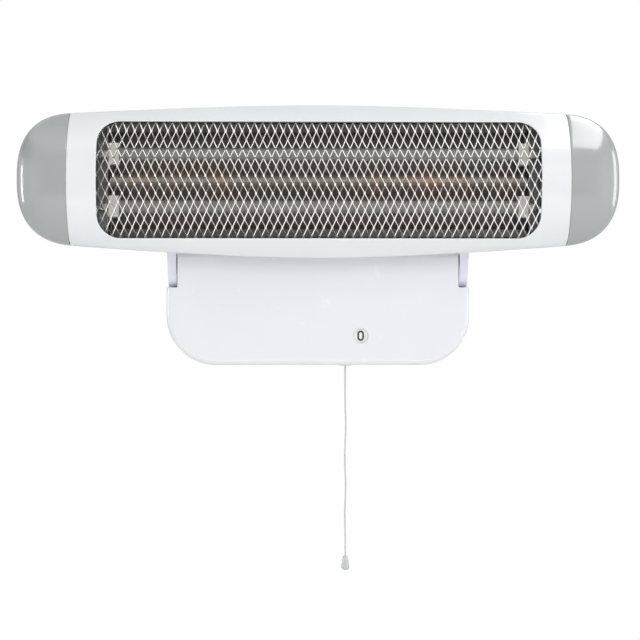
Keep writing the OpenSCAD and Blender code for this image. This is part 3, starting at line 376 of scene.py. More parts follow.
def mix_shaders(tree, factor, a, b):
    n = tree.nodes.new("ShaderNodeMixShader")
    tree.links.new(factor, n.inputs["Fac"])
    tree.links.new(a, n.inputs[1])
    tree.links.new(b, n.inputs[2])
    return n.outputs[0]


def glow(tree, kind, level):
    """White emission or background of a level given as a number or a socket."""
    n = tree.nodes.new(kind)
    n.inputs["Color"].default_value = WHITE
    if isinstance(level, float):
        n.inputs["Strength"].default_value = level
    else:
        tree.links.new(level, n.inputs["Strength"])
    return n.outputs[0]


def material(name, color, rough=0.4, metal=0.0, **extra):
    m = bpy.data.materials.new(name)
    m.use_nodes = True
    b = m.node_tree.nodes["Principled BSDF"]
    b.inputs["Base Color"].default_value = (*color, 1.0)
    b.inputs["Roughness"].default_value = rough
    b.inputs["Metallic"].default_value = metal
    for key, value in extra.items():
        b.inputs[key.replace("_", " ")].default_value = value
    return m


def coordinates(m, scale=(1, 1, 1)):
    nt = m.node_tree
    tc = nt.nodes.new("ShaderNodeTexCoord")
    mp = nt.nodes.new("ShaderNodeMapping")
    mp.inputs["Scale"].default_value = scale
    nt.links.new(tc.outputs["Object"], mp.inputs["Vector"])
    return mp.outputs["Vector"]


def noise(m, scale, detail=3.0, stretch=(1, 1, 1)):
    n = m.node_tree.nodes.new("ShaderNodeTexNoise")
    n.inputs["Scale"].default_value = scale
    n.inputs["Detail"].default_value = detail
    m.node_tree.links.new(coordinates(m, stretch), n.inputs["Vector"])
    return n.outputs["Fac"]


def ramp(m, source, stops):
    r = m.node_tree.nodes.new("ShaderNodeValToRGB")
    els = r.color_ramp.elements
    while len(els) < len(stops):
        els.new(0.5)
    for e, (pos, col) in zip(els, stops):
        e.position = pos
        e.color = (*col, 1.0) if len(col) == 3 else col
    m.node_tree.links.new(source, r.inputs["Fac"])
    return r.outputs["Color"]


def shader(m):
    return m.node_tree.nodes["Principled BSDF"]


def tint(m, color, amount, scale, stretch=(1, 1, 1)):
    """Base colour that wanders a little around the given one."""
    lo = tuple(c * (1 - amount) for c in color)
    hi = tuple(min(1.0, c * (1 + amount)) for c in color)
    out = ramp(m, noise(m, scale, 4.0, stretch), [(0.3, lo), (0.7, hi)])
    m.node_tree.links.new(out, shader(m).inputs["Base Color"])


def rough_between(m, lo, hi, scale, stretch=(1, 1, 1)):
    """Roughness that wanders between two levels."""
    spread = map_range(m.node_tree, noise(m, scale, 3.0, stretch), 0.3, 0.7, lo, hi)
    m.node_tree.links.new(spread.outputs["Result"], shader(m).inputs["Roughness"])


def bump(m, height, strength, distance):
    b = m.node_tree.nodes.new("ShaderNodeBump")
    b.inputs["Strength"].default_value = strength
    b.inputs["Distance"].default_value = distance
    m.node_tree.links.new(height, b.inputs["Height"])
    m.node_tree.links.new(b.outputs["Normal"], shader(m).inputs["Normal"])


def gloss_plastic(name, color, rough=0.16, amount=0.012, peel=0.03):
    m = material(name, color, rough, 0.0, Coat_Weight=0.25, Coat_Roughness=0.08)
    tint(m, color, amount, 14.0)
    rough_between(m, rough * 0.85, rough * 1.25, 60.0)
    bump(m, noise(m, 900.0, 2.0), peel, 0.0002)
    return m


def matte_plastic(name, color, rough=0.5, grain=0.12):
    m = material(name, color, rough)
    tint(m, color, 0.04, 30.0)
    rough_between(m, rough * 0.85, min(1.0, rough * 1.2), 80.0)
    bump(m, noise(m, 2200.0, 4.0), grain, 0.0002)
    return m


def brushed_metal(name, color, rough=0.28, stretch=(1, 30, 30), amount=0.08):
    m = material(name, color, rough, 1.0)
    tint(m, color, amount, 60.0, stretch)
    rough_between(m, rough * 0.75, rough * 1.35, 120.0, stretch)
    bump(m, noise(m, 400.0, 3.0, stretch), 0.06, 0.0002)
    return m


SHELL = gloss_plastic("shell_white", (0.80, 0.825, 0.84))
CAP = gloss_plastic("cap_grey", (0.385, 0.405, 0.405), 0.18)
BASE = gloss_plastic("base_white", (0.815, 0.828, 0.868), 0.22)
# The arms are the same white plastic as the shell; their lavender tint is painted shade
ARM = gloss_plastic("arm_white", (0.80, 0.795, 0.895), 0.25)
PLATE = matte_plastic("plate_plastic", (0.62, 0.63, 0.65))
GRILLE = brushed_metal("grille_metal", (0.95, 0.93, 0.91), 0.22, (1, 1, 1), 0.04)
# The reflector is polished metal; its dark colour is painted shade
REFLECTOR = brushed_metal("reflector_metal", (0.120, 0.098, 0.085), 0.45, (1, 25, 25), 0.20)
shader(REFLECTOR).inputs["Metallic"].default_value = 0.1


def shade_highlight_and_heat_stains(m):
    """Painted shade in the sheet's dark tones, darkest at the flanges, a painted highlight in the paler
    ridge, and brown heat patches along the ridge.
    """
    nt = m.node_tree
    tc = nt.nodes.new("ShaderNodeTexCoord")
    split = nt.nodes.new("ShaderNodeSeparateXYZ")
    nt.links.new(tc.outputs["Object"], split.inputs["Vector"])
    height = map_range(nt, split.outputs["Z"], (HEAD_Z - 60) * MM, (HEAD_Z + 60) * MM).outputs["Result"]
    # Painted shade on the flanges and troughs and a painted highlight on the ridge; the brown tones add
    # real heat browning to both
    flange, trough, ridge = (0.055, 0.046, 0.040), (0.135, 0.110, 0.094), (0.30, 0.26, 0.22)
    burnt_trough_shade, burnt_ridge_highlight = (0.16, 0.105, 0.075), (0.42, 0.26, 0.19)
    below = [(0.10, flange), (0.16, trough)]
    above = [(0.84, trough), (0.90, flange)]
    plain = ramp(m, height, below + [(0.43, trough), (0.465, ridge), (0.535, ridge), (0.57, trough)]
                 + above)
    brown = ramp(m, height, below + [(0.40, burnt_trough_shade), (0.465, burnt_ridge_highlight), (0.535, burnt_ridge_highlight),
                                     (0.60, burnt_trough_shade)] + above)
    patches = map_range(nt, noise(m, 16.0, 2.0, (1, 0.4, 0.4)), 0.50, 0.62).outputs["Result"]
    nt.links.new(mix_colors(nt, patches, plain, brown), shader(m).inputs["Base Color"])


shade_highlight_and_heat_stains(REFLECTOR)
STEEL = brushed_metal("sheet_steel", (0.55, 0.56, 0.57), 0.3)
SPRING = brushed_metal("spring_steel", (0.40, 0.41, 0.43), 0.32)
SCREW = brushed_metal("screw_steel", (0.62, 0.63, 0.65), 0.25)
TERMINAL = brushed_metal("terminal_metal", (0.85, 0.86, 0.88), 0.2)
COIL = brushed_metal("coil_wire", (0.30, 0.25, 0.22), 0.4)
CERAMIC = matte_plastic("ceramic", (0.60, 0.565, 0.52), 0.55, 0.2)
BLOCK_CERAMIC = matte_plastic("block_ceramic", (0.70, 0.66, 0.58), 0.55, 0.2)
CUTOUT = matte_plastic("cutout_body", (0.10, 0.09, 0.08), 0.45)
SLEEVE = matte_plastic("wire_sleeve", (0.62, 0.56, 0.46), 0.8, 0.3)
LEAD = matte_plastic("lead_jacket", (0.05, 0.05, 0.055), 0.55, 0.1)
FIBRE = matte_plastic("fibre", (0.30, 0.12, 0.06), 0.75, 0.2)
DISC = matte_plastic("disc_white", (0.95, 0.95, 0.95), 0.4, 0.05)
INK = matte_plastic("numeral_ink", (0.006, 0.006, 0.007), 0.6, 0.05)
SWITCH = matte_plastic("switch_plastic", (0.62, 0.58, 0.50), 0.5)
DRUM = matte_plastic("drum_plastic", (0.78, 0.76, 0.70), 0.4)
BRASS = brushed_metal("contact_brass", (0.62, 0.44, 0.17), 0.3)
BLOCK = matte_plastic("block_plastic", (0.72, 0.69, 0.60), 0.45)
GROMMET = matte_plastic("grommet_rubber", (0.04, 0.04, 0.042), 0.7, 0.15)
WIRE = matte_plastic("wire_brown", (0.20, 0.07, 0.03), 0.4, 0.05)
BELL = gloss_plastic("bell_grey", (0.56, 0.57, 0.58), 0.3, 0.03)

QUARTZ = material("quartz", (0.30, 0.285, 0.27), 0.3, 0.0, Transmission_Weight=0.25, IOR=1.46)
tint(QUARTZ, (0.30, 0.285, 0.27), 0.12, 90.0, (0.3, 1, 1))
rough_between(QUARTZ, 0.22, 0.4, 150.0)
bump(QUARTZ, noise(QUARTZ, 500.0, 3.0, (0.4, 1, 1)), 0.08, 0.0003)

LENS = material("window_clear", (0.95, 0.96, 0.97), 0.06, 0.0, Alpha=0.02)
rough_between(LENS, 0.04, 0.09, 200.0)

CORD = material("cord_white", (0.60, 0.61, 0.62), 0.75)
tint(CORD, (0.60, 0.61, 0.62), 0.06, 400.0)
wave = CORD.node_tree.nodes.new("ShaderNodeTexWave")
wave.wave_type = "BANDS"
wave.bands_direction = "DIAGONAL"
wave.inputs["Scale"].default_value = 380.0
wave.inputs["Distortion"].default_value = 0.6
CORD.node_tree.links.new(coordinates(CORD), wave.inputs["Vector"])
bump(CORD, wave.outputs["Fac"], 0.5, 0.0004)


def dress(obj, mat):
    obj.data.materials.clear()
    obj.data.materials.append(mat)
    return obj


# Pull cord: the same route as in the part's source
CORD_X = SWITCH_X - DRUM_R
cord_route = [
    (0, -9), (0, -22), (0, -36), (0, -52), (0, -70), (0, -86), (0.2, -98), (0.6, -110),
    (0.5, -122), (0, -134), (-0.4, -146), (-0.2, -158), (0.4, -170), (0.5, -182), (0.1, -194),
    (-0.3, -206), (-0.2, -218), (0.1, -230), (0.2, -240), (0.2, -250), (0.2, -261)
]


def smooth_route(p, n):
    out = []
    m = len(p) - 1
    pts = [Vector(q) for q in p]
    for i in range(m):
        a, b, c, d = pts[max(0, i - 1)], pts[i], pts[i + 1], pts[min(m, i + 2)]
        for k in range(n):
            t = k / n
            out.append(0.5 * ((2 * b) + (c - a) * t + (2 * a - 5 * b + 4 * c - d) * t * t
                              + (3 * b - a - 3 * c + d) * t ** 3))
    out.append(pts[m])
    return out


def tube_mesh(name, points, d, sides=10, ref=(0, 1, 0)):
    rings = []
    for i, p in enumerate(points):
        a = points[max(0, i - 1)]
        b = points[min(len(points) - 1, i + 1)]
        t = (Vector(b) - Vector(a)).normalized()
        u = Vector(ref).cross(t).normalized()
        v = t.cross(u)
        rings.append([tuple(Vector(p) + d / 2 * (math.cos(2 * math.pi * k / sides) * u
                                                  + math.sin(2 * math.pi * k / sides) * v))
                      for k in range(sides)])
    return loft(name, rings)


cord_points = smooth_route([(CORD_X + x, DRUM_Y, z) for x, z in cord_route], 6)
inside_points = [p for p in cord_points if p.z > -45.0]
free_points = [p for p in cord_points if p.z <= inside_points[-1].z]
cord_inside = dress(tube_mesh("pull_cord_inside", inside_points, CORD_D, 12), CORD)
cord = dress(tube_mesh("pull_cord_twisted", free_points, CORD_D, 12), CORD)
knot_profile = [(0.0, -0.3), (0.9, 0.0), (1.45, -0.5), (1.62, -1.1), (1.35, -1.6), (1.5, -2.1),
                (1.62, -2.7), (1.2, -3.4), (0.5, -3.7), (0.0, -3.75)]
knot = dress(lathe("pull_cord_knot", knot_profile, "z", (CORD_X + 0.2, DRUM_Y, -259.4), 24), CORD)
for piece in (cord, cord_inside, knot):
    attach(piece, "pull")
    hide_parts("pull_cord")

bell_profile = [(1.15, -0.3), (1.5, 0.0), (2.2, 0.0), (2.55, -0.35), (2.75, -1.4), (3.05, -3.2),
                (3.4, -5.4), (3.75, -7.6), (4.05, -9.4), (4.25, -10.6), (4.28, -11.3),
                (4.1, -12.1), (3.6, -13.0), (2.9, -13.8), (2.55, -14.2), (2.38, -14.4),
                (2.3, -14.2), (2.3, -7.2), (1.15, -6.9), (1.15, -0.3)]
bell = dress(lathe("pull_bell", bell_profile, "z", (CORD_X + 0.2, DRUM_Y, BELL_TOP), 48), BELL)
sharp_by_angle(bell, 50)
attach(bell, "pull")
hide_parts("cord_bell")


# Front shell: skin between the opening and the outline, then round the lip and back inside
def opening_loop(grow, count_straight=(96, 24), count_corner=12):
    """Rounded opening as (x, z), going round from the middle of the right side."""
    hw, hh, r = OPEN_W / 2 + grow, OPEN_H / 2 + grow, OPEN_R + grow
    pts = []

    def line(a, b, n):
        pts.extend((a[0] + (b[0] - a[0]) * k / n, a[1] + (b[1] - a[1]) * k / n) for k in range(n))

    def arc(cx, cz, a0, n):
        pts.extend((cx + r * math.cos(math.radians(a0 + 90 * k / n)),
                    cz + r * math.sin(math.radians(a0 + 90 * k / n))) for k in range(n))

    nx, nz = count_straight
    z0 = HEAD_Z
    line((hw, z0 - hh + r), (hw, z0 + hh - r), nz)
    arc(hw - r, z0 + hh - r, 0, count_corner)
    line((hw - r, z0 + hh), (-hw + r, z0 + hh), nx)
    arc(-hw + r, z0 + hh - r, 90, count_corner)
    line((-hw, z0 + hh - r), (-hw, z0 - hh + r), nz)
    arc(-hw + r, z0 - hh + r, 180, count_corner)
    line((-hw + r, z0 - hh), (hw - r, z0 - hh), nx)
    arc(hw - r, z0 - hh + r, 270, count_corner)
    return pts


def outline_loop(w=0.0, counts=(96, 24), count_corner=12):
    """Outline of the shells matching the opening's loop, point by point, with its corners kept."""
    pts = []
    nx, nz = counts
    c = count_corner
    x1 = SEAM_X
    top = [(x1 - 2 * x1 * k / (nx + c)) for k in range(nx + c)]
    side = nz + c

    def z_at(x, sgn):
        return mid_z(x) + sgn * (half_at(x) - w)

    z_lo, z_hi = z_at(x1, -1), z_at(x1, 1)
    right = [(x1, z_lo + (z_hi - z_lo) * k / side) for k in range(side)]
    upper = [(x, z_at(x, 1)) for x in top]
    left = [(-x1, z_hi + (z_lo - z_hi) * k / side) for k in range(side)]
    lower = [(-x, z_at(x, -1)) for x in top]
    loop = right + upper + left + lower
    h = c // 2
    return loop[h:] + loop[:h]


def seam_dip(x):
    """Small groove beside the seams, as the depth that the skin falls there."""
    d = SEAM_X - abs(x)
    if d > GROOVE_W:
        return 0.0
    return GROOVE_D * (1 - d / GROOVE_W) ** 2


def front_point(x, z, w=0.0):
    half = half_at(x) - w
    s = max(-1.0, min(1.0, (z - mid_z(x)) / half))
    dip = seam_dip(x)
    y = face_y(False, z, s, w) + dip * edge_fall(s)
    if dip:
        z = mid_z(x) + (z - mid_z(x)) * (1 - dip / half_at(x))
    return (x, y, z)


def make_front_shell():
    inner = opening_loop(0.0)
    lip = opening_loop(LIP_R)
    outer = outline_loop()
    n = len(inner)
    assert len(outer) == n
    rings = []
    # Inside of the lip, from the grille forward
    for back in (2.9, 2.0, 1.1):
        rings.append([(x, face_at(False, x, z) + back, z) for x, z in inner])
    # Rounded lip
    for k in range(5):
        a = math.radians(90 * k / 4)
        mix = 1 - math.cos(a)
        depth = LIP_R * (1 - math.sin(a))
        ring = []
        for (xi, zi), (xl, zl) in zip(inner, lip):
            x, z = xi + (xl - xi) * mix, zi + (zl - zi) * mix
            ring.append((x, face_at(False, x, z) + depth, z))
        rings.append(ring)
    steps = 44
    for i in range(1, steps + 1):
        t = i / steps
        t = 1 - (1 - t) ** 2.2
        ring = []
        for (xl, zl), (xo, zo) in zip(lip, outer):
            ring.append(front_point(xl + (xo - xl) * t, zl + (zo - zl) * t))
        rings.append(ring)
    # Turn inwards at the rim and close the wall behind
    inner_outline = outline_loop(WALL)
    rings.append([(x, SPLIT_Y, z) for x, z in inner_outline])
    for t in (0.04, 0.1, 0.2, 0.35, 0.55, 0.8, 1.0):
        ring = []
        for (xo, zo), (xi, zi) in zip(inner_outline, inner):
            x, z = xo + (xi - xo) * t, zo + (zi - zo) * t
            half = half_at(x) - WALL
            s = max(-1.0, min(1.0, (z - mid_z(x)) / half))
            ring.append((x, face_y(False, z, s, WALL), z))
        rings.append(ring)
    rings.append(rings[0])
    obj = loft("head_front_smooth", rings, True, False)
    sharp_by_angle(obj, 40)
    return obj


front = dress(make_front_shell(), SHELL)
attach(front, "head")
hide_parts("head_front_shell")


# Arms' outline in depth and height
def arm_outline(grow, steps=20):
    run = Vector((ARM_TOP_Y - HINGE_Y, ARM_TOP_Z - HINGE_Z))
    lean = math.atan2(run.y, run.x)
    opening = math.acos((ARM_R - ARM_TOP_R) / run.length)
    pts = []
    for (cy, cz, r, a0, a1) in (
            (ARM_TOP_Y, ARM_TOP_Z, ARM_TOP_R + grow, lean - opening, lean + opening),
            (HINGE_Y, HINGE_Z, ARM_R + grow, lean + opening, lean + 2 * math.pi - opening)):
        for k in range(steps + 1):
            a = a0 + (a1 - a0) * k / steps
            pts.append((cy + r * math.cos(a), cz + r * math.sin(a)))
    return pts


# Rear shell with its vents, the arms' slots and the wells of the screws
def make_rear_shell():
    nx, nz = 120, 56
    verts, faces = [], []
    for w in (0.0, WALL):
        for i in range(nx + 1):
            u = -1 + 2 * i / nx
            x = SEAM_X * math.copysign(1 - (1 - abs(u)) ** 1.25, u)
            for j in range(nz + 1):
                s = math.sin(math.pi * (j / nz - 0.5))
                half = half_at(x) - w
                z = mid_z(x) + s * half
                y = face_y(True, z, s, w)
                if w == 0.0 and seam_dip(x):
                    dip = seam_dip(x)
                    y -= dip * edge_fall(s)
                    z = mid_z(x) + s * (half - dip)
                verts.append((x, y, z))
    n = nz + 1
    off = (nx + 1) * n

    def at(k, i, j):
        return k * off + i * n + j

    for i in range(nx):
        for j in range(nz):
            faces.append((at(0, i, j), at(0, i + 1, j), at(0, i + 1, j + 1), at(0, i, j + 1)))
            faces.append((at(1, i, j), at(1, i, j + 1), at(1, i + 1, j + 1), at(1, i + 1, j)))
        faces.append((at(0, i, 0), at(1, i, 0), at(1, i + 1, 0), at(0, i + 1, 0)))
        faces.append((at(0, i, nz), at(0, i + 1, nz), at(1, i + 1, nz), at(1, i, nz)))
    for j in range(nz):
        faces.append((at(0, 0, j), at(0, 0, j + 1), at(1, 0, j + 1), at(1, 0, j)))
        faces.append((at(0, nx, j), at(1, nx, j), at(1, nx, j + 1), at(0, nx, j + 1)))
    obj = recalc(new_object("head_rear_skin", verts, faces))

    def vents(reach, z):
        return [(VENT_PITCH * i - VENT_L / 2, VENT_PITCH * i + VENT_L / 2, z, VENT_H)
                for i in range(-reach, reach + 1)]

    def wells(x, heights, y):
        return [(side * x, z, WELL_D, y) for side in (-1, 1) for z in heights]

    slots = [vent for rise in (35.6, 43.6, 51.6) for vent in vents(6, HEAD_Z + rise)]
    slots += vents(3, HEAD_Z - 48.4)
    rods = wells(231.5, (HEAD_Z - 38, HEAD_Z + 38), SPLIT_Y + 20)
    rods += wells(90, (HEAD_Z - 62.8, HEAD_Z + 62.8), SPLIT_Y + 10)
    rods += wells(130.5, (102, 114), SPLIT_Y + 25)
    arm, near, far = arm_outline(ARM_SLACK), ARM_IN - ARM_SLACK, ARM_IN + ARM_T + ARM_SLACK
    slabs = [(arm, near, far), (arm, -far, -near)]
    cutters = slot_cutters("rear_cutters", slots, rods, slabs)
    obj = cut(obj, cutters, "head_rear_smooth")
    sharp_by_angle(obj, 35)
    return obj


rear = dress(make_rear_shell(), SHELL)
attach(rear, "head")
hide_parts("head_rear_shell")


# End caps: smooth skins over rings round the middle of the seam
def cap_point(is_rear, w, rho, angle):
    cosine = max(0.0, math.cos(angle))
    x = SEAM_X + (CAP_W - w) * rho * cosine ** (2 / CAP_POWER)
    side = math.copysign(abs(math.sin(angle)) ** (2 / CAP_POWER), math.sin(angle))
    z = mid_z(SEAM_X) + (half_at(SEAM_X) - w) * rho * side * (1 - CAP_TAPER * (x - SEAM_X))
    power = EDGE_POWER + (CAP_EDGE_POWER - EDGE_POWER) * cosine ** 2
    return [x, face_y(is_rear, z, rho, w, power), z]


def make_cap():
    rings_n, turns = 44, 96
    verts, faces = [], []
    index = {}

    def add(key, p):
        index[key] = len(verts)
        verts.append(tuple(p))

    # Sharper steps near the outline, where the skin turns over
    rhos = [math.sin(math.pi / 2 * (k / rings_n)) for k in range(rings_n + 1)]
    for is_rear in (False, True):
        add((is_rear, 0, 0), cap_point(is_rear, 0.0, 0.0, 0.0))
        for k in range(1, rings_n + 1):
            for t in range(turns + 1):
                if is_rear and k == rings_n:
                    index[(True, k, t)] = index[(False, k, t)]
                    continue
                u = 2 * t / turns - 1
                angle = math.pi / 2 * math.copysign(1 - (1 - abs(u)) ** 1.15, u)
                p = cap_point(is_rear, 0.0, rhos[k], angle)
                add((is_rear, k, t), p)
        for t in range(turns):
            tri = (index[(is_rear, 0, 0)], index[(is_rear, 1, t)], index[(is_rear, 1, t + 1)])
            faces.append(tri)
            for k in range(1, rings_n):
                faces.append((index[(is_rear, k, t)], index[(is_rear, k + 1, t)],
                              index[(is_rear, k + 1, t + 1)], index[(is_rear, k, t + 1)]))
    # Groove beside the seam: a narrow return wall set in from the skin
    rim = []
    for is_rear, order in ((False, range(rings_n, 0, -1)), (True, range(1, rings_n))):
        if not is_rear:
            rim += [index[(False, k, 0)] for k in order]
            rim += [index[(False, 0, 0)]]
            rim += [index[(False, k, turns)] for k in range(1, rings_n + 1)]
        else:
            rim += [index[(True, k, turns)] for k in range(rings_n - 1, 0, -1)]
            rim += [index[(True, 0, 0)]]
            rim += [index[(True, k, 0)] for k in range(1, rings_n)]
    centre_y, centre_z = -84.0, mid_z(SEAM_X)
    prev = rim
    for inset, dx in ((1.0, 0.15), (2.4, 0.15)):
        ring = []
        for i in rim:
            x, y, z = verts[i]
            d = Vector((centre_y - y, centre_z - z))
            d = d.normalized() * inset
            ring.append(len(verts))
            verts.append((SEAM_X + dx, y + d.x, z + d.y))
        n = len(rim)
        for a in range(n):
            b = (a + 1) % n
            faces.append((prev[a], prev[b], ring[b], ring[a]))
        prev = ring
    # Round the cap's own edge at the seam a little
    for i in rim:
        x, y, z = verts[i]
        d = Vector((centre_y - y, centre_z - z)).normalized() * 0.35
        verts[i] = (SEAM_X + 0.25, y + d.x, z + d.y)
    obj = recalc(new_object("end_cap_skin", verts, faces))
    sharp_by_angle(obj, 50)
    return obj


cap_right = dress(make_cap(), CAP)
cap_right.name = "cap_right_smooth"
cap_left = mirrored_copy(cap_right, "cap_left_smooth")
for piece, node in ((cap_right, "end_cap_right"), (cap_left, "end_cap_left")):
    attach(piece, "head")
    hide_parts(node)


# Grille of expanded metal, bent like the front face
def grille_point(x, z, depth):
    """A point of the bent sheet, depth in front of its middle."""
    r = GRILLE_R - GRILLE_T / 2
    a = math.asin(max(-1, min(1, (z - HEAD_Z) / r)))
    return Vector((x, FRONT_CY - (r + depth) * math.cos(a), HEAD_Z + (r + depth) * math.sin(a)))


def inside_opening(x, z, grow):
    hw, hh, r = OPEN_W / 2 + grow, OPEN_H / 2 + grow, OPEN_R + grow
    dx, dz = abs(x) - (hw - r), abs(z - HEAD_Z) - (hh - r)
    if dx <= 0 or dz <= 0:
        return dx <= r and dz <= r
    return dx * dx + dz * dz <= r * r


# Mesh of the grille: strands, turned knots, rows and columns as the photograph shows them
STRAND_W = 1.0
STRAND_T = 0.7
STRAND_TURN = math.radians(30)
TURN_LOSS = math.radians(16)
TURN_LOSS_FROM = 36.0
TURN_LOSS_OVER = 14.0
KNOT_H = 2.2
ROW_H = 8.594
ROW_BEND = 0.0565
ROW_Z = -1.485
MESH_MARGIN = 3.5
MESH_PITCH = 8.15
MESH_X = 3.1
MESH_LEAN = 0.037
MESH_FAN = 0.000108


def row_z(j):
    """Height of the knots in a row; the rows lie a little wider towards the top."""
    q = j + 0.5
    return HEAD_Z + ROW_Z + ROW_H * q + ROW_BEND * q * q


def column_x(i, z):
    """Half columns of the mesh; the sheet sits a little askew in its frame."""
    dz = z - HEAD_Z
    return i * MESH_PITCH / 2 * (1 - MESH_FAN * dz) + MESH_X - MESH_LEAN * dz


def make_grille():
    """Expanded metal with upright slits: every knot is a small plate turned to the left, and strands
    leave its front half to the right and its rear half to the left."""
    verts, faces = [], []
    cols = int(OPEN_W / MESH_PITCH) + 4
    rows = int(OPEN_H / ROW_H / 2) + 3

    def turn_at(z):
        """Turn of the strands; they lie flatter at the sheet's upper edge."""
        loss = max(0.0, min(1.0, (z - HEAD_Z - TURN_LOSS_FROM) / TURN_LOSS_OVER))
        turn = STRAND_TURN - TURN_LOSS * loss
        return math.cos(turn), math.sin(turn)

    def frame_at(z):
        """Directions out of the sheet and up along it."""
        a = math.asin(max(-1, min(1, (z - HEAD_Z) / (GRILLE_R - GRILLE_T / 2))))
        return Vector((0, -math.cos(a), math.sin(a))), Vector((0, math.sin(a), math.cos(a)))

    def section(x, z, side, lift):
        """Corners of a strand's cut at a knot: side 1 is its front half, -1 its rear half."""
        out_n, up = frame_at(z)
        ca, sa = turn_at(z)
        across = Vector((ca, 0, 0)) + out_n * sa
        thick = Vector((-sa, 0, 0)) + out_n * ca
        c = grille_point(x, z, 0.0) + across * (side * STRAND_W / 2) + up * lift
        w, t = across * (STRAND_W / 2), thick * (STRAND_T / 2)
        return [c + w + t, c + w - t, c - w - t, c - w + t]

    def prism(a, b):
        k = len(verts)
        verts.extend(tuple(p) for p in a)
        verts.extend(tuple(p) for p in b)
        for c in range(4):
            d = (c + 1) % 4
            faces.append((k + c, k + d, k + 4 + d, k + 4 + c))
        faces.append((k + 3, k + 2, k + 1, k))
        faces.append((k + 4, k + 5, k + 6, k + 7))

    for i in range(-2 * cols, 2 * cols + 1):
        for j in range(-rows * 2, rows * 2 + 1):
            if (i + j) % 2:
                continue
            z = row_z(j)
            x = column_x(i, z)
            if inside_opening(x, z, MESH_MARGIN):
                for side in (1, -1):
                    prism(section(x, z, side, -KNOT_H / 2), section(x, z, side, KNOT_H / 2))
            for side in (1, -1):
                ze = row_z(j + 1)
                xe = column_x(i + side, ze)
                if inside_opening((x + xe) / 2, (z + ze) / 2, MESH_MARGIN):
                    prism(section(x, z, side, KNOT_H / 2), section(xe, ze, -side, -KNOT_H / 2))
    return recalc(new_object("grille_mesh", verts, faces, False))


grille = dress(make_grille(), GRILLE)


# The grille's frame, a bent band round the strands
def make_grille_frame():
    rings = []
    r_out, r_in = GRILLE_R, GRILLE_R - GRILLE_T
    for grow, r in ((0.5, r_out - 0.2), (0.9, r_out), (4.6, r_out), (5.0, r_out - 0.3),
                    (5.0, r_in + 0.2), (4.7, r_in), (0.8, r_in), (0.5, r_in + 0.2)):
        ring = []
        for x, z in opening_loop(grow):
            ring.append((x, FRONT_CY - math.sqrt(r * r - (z - HEAD_Z) ** 2), z))
        rings.append(ring)
    rings.append(rings[0])
    return loft("grille_frame", rings, True, False)


grille_frame = dress(sharp_by_angle(make_grille_frame(), 40), GRILLE)
for piece in (grille, grille_frame):
    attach(piece, "head")
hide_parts("guard_grille")
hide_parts("guard_grille")


# Reflector: one folded sheet with two troughs and a ridge
def reflector_profile():
    """Front side of the sheet's section as (depth, height), from bottom to top."""
    flange_z = 58.0
    edge_y = FRONT_CY - math.sqrt(GRILLE_R ** 2 - flange_z ** 2) + 1.9
    edge_z = flange_z - 1.1
    half = []
    top = TUBE_GAP / 2 + TROUGH_R
    half.append((TUBE_Y - 5.0, 1.0))
    half.append((TUBE_Y - 4.7, 1.65))
    for k in range(4):
        half.append((TUBE_Y - 4.0 + k, 2.0 + 0.5 * k))
    for k in range(37):
        a = math.radians(-90 + 5 * k)
        half.append((TUBE_Y + TROUGH_R * math.cos(a), TUBE_GAP / 2 + TROUGH_R * math.sin(a)))
    half.append((TUBE_Y - 0.5, top + 1.1))
    half.append((edge_y, edge_z - SHEET_T))
    return [(y, -z) for y, z in reversed(half)] + half


def make_reflector():
    prof = reflector_profile()
    n = len(prof)
    offs = []
    for i in range(n):
        a = Vector(prof[max(0, i - 1)])
        b = Vector(prof[min(n - 1, i + 1)])
        t = (b - a).normalized()
        offs.append((prof[i][0] + t.y * SHEET_T * 0.95, prof[i][1] - t.x * SHEET_T * 0.95))
    section = prof + list(reversed(offs))
    rings = []
    end = REFLECTOR_L / 2
    for x in (-end, 0.5 - end, -100.0, 0.0, 100.0, end - 0.5, end):
        rings.append([(x, y, HEAD_Z + z) for y, z in section])
    return loft("reflector_sheet", rings)


reflector = dress(sharp_by_angle(make_reflector(), 30), REFLECTOR)
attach(reflector, "head")
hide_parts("reflector")


# Quartz tubes and their wound coils
def make_tube(name, z):
    l = TUBE_LEN / 2 + CERAMIC_L - 4
    ro, ri = TUBE_D / 2, TUBE_D / 2 - 1
    profile = [(ri, -l), (ro - 0.3, -l), (ro, -l + 0.3), (ro, l - 0.3), (ro - 0.3, l), (ri, l), (ri, -l)]
    obj = lathe(name, profile, "x", (0, TUBE_Y, z), 48)
    return sharp_by_angle(obj, 35)


def make_coil(name, z):
    l = TUBE_LEN / 2 + CERAMIC_L - 6
    pitch, r, wire = 3.2, 4.55, 1.1
    turns = int(2 * l / pitch)
    steps = turns * 10
    pts = []
    for k in range(steps + 1):
        a = 2 * math.pi * k / 10
        pts.append((-l + 2 * l * k / steps, TUBE_Y + r * math.cos(a), z + r * math.sin(a)))
    return tube_mesh(name, pts, wire, 5, (1, 0, 0))


for tag, z, tube_node, coil_node in (
        ("upper", HEAD_Z + TUBE_GAP / 2, "quartz_tube_upper", "heating_coil_upper"),
        ("lower", HEAD_Z - TUBE_GAP / 2, "quartz_tube_lower", "heating_coil_lower")):
    tube = dress(make_tube("tube_" + tag, z), QUARTZ)
    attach(tube, "head")
    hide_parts(tube_node)
    coil = dress(make_coil("coil_" + tag, z), COIL)
    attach(coil, "head")
    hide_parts(coil_node)


# Base shell: lofted outlines, rounded at the front edge, with slots for the arms
def base_outline(i, j):
    """Outline set in by i, and by j at the slots of the arms."""
    hw = BASE_W / 2 - i
    low = -BASE_BOTTOM + i
    top = BASE_TOP - i
    neck = NECK_X - j
    sh = SHOULDER_Z - j
    r = max(1.0, BASE_R - i)
    cr = max(0.8, BASE_CORNER_R - i)
    outer = max(0.4, 2.2 - j)
    inner = 1.0 + j
    return rounded_path([
        (hw, low, r), (hw, sh, outer), (neck, sh, inner), (neck, top, cr),
        (-neck, top, cr), (-neck, sh, inner), (-hw, sh, outer), (-hw, low, r)], 14)


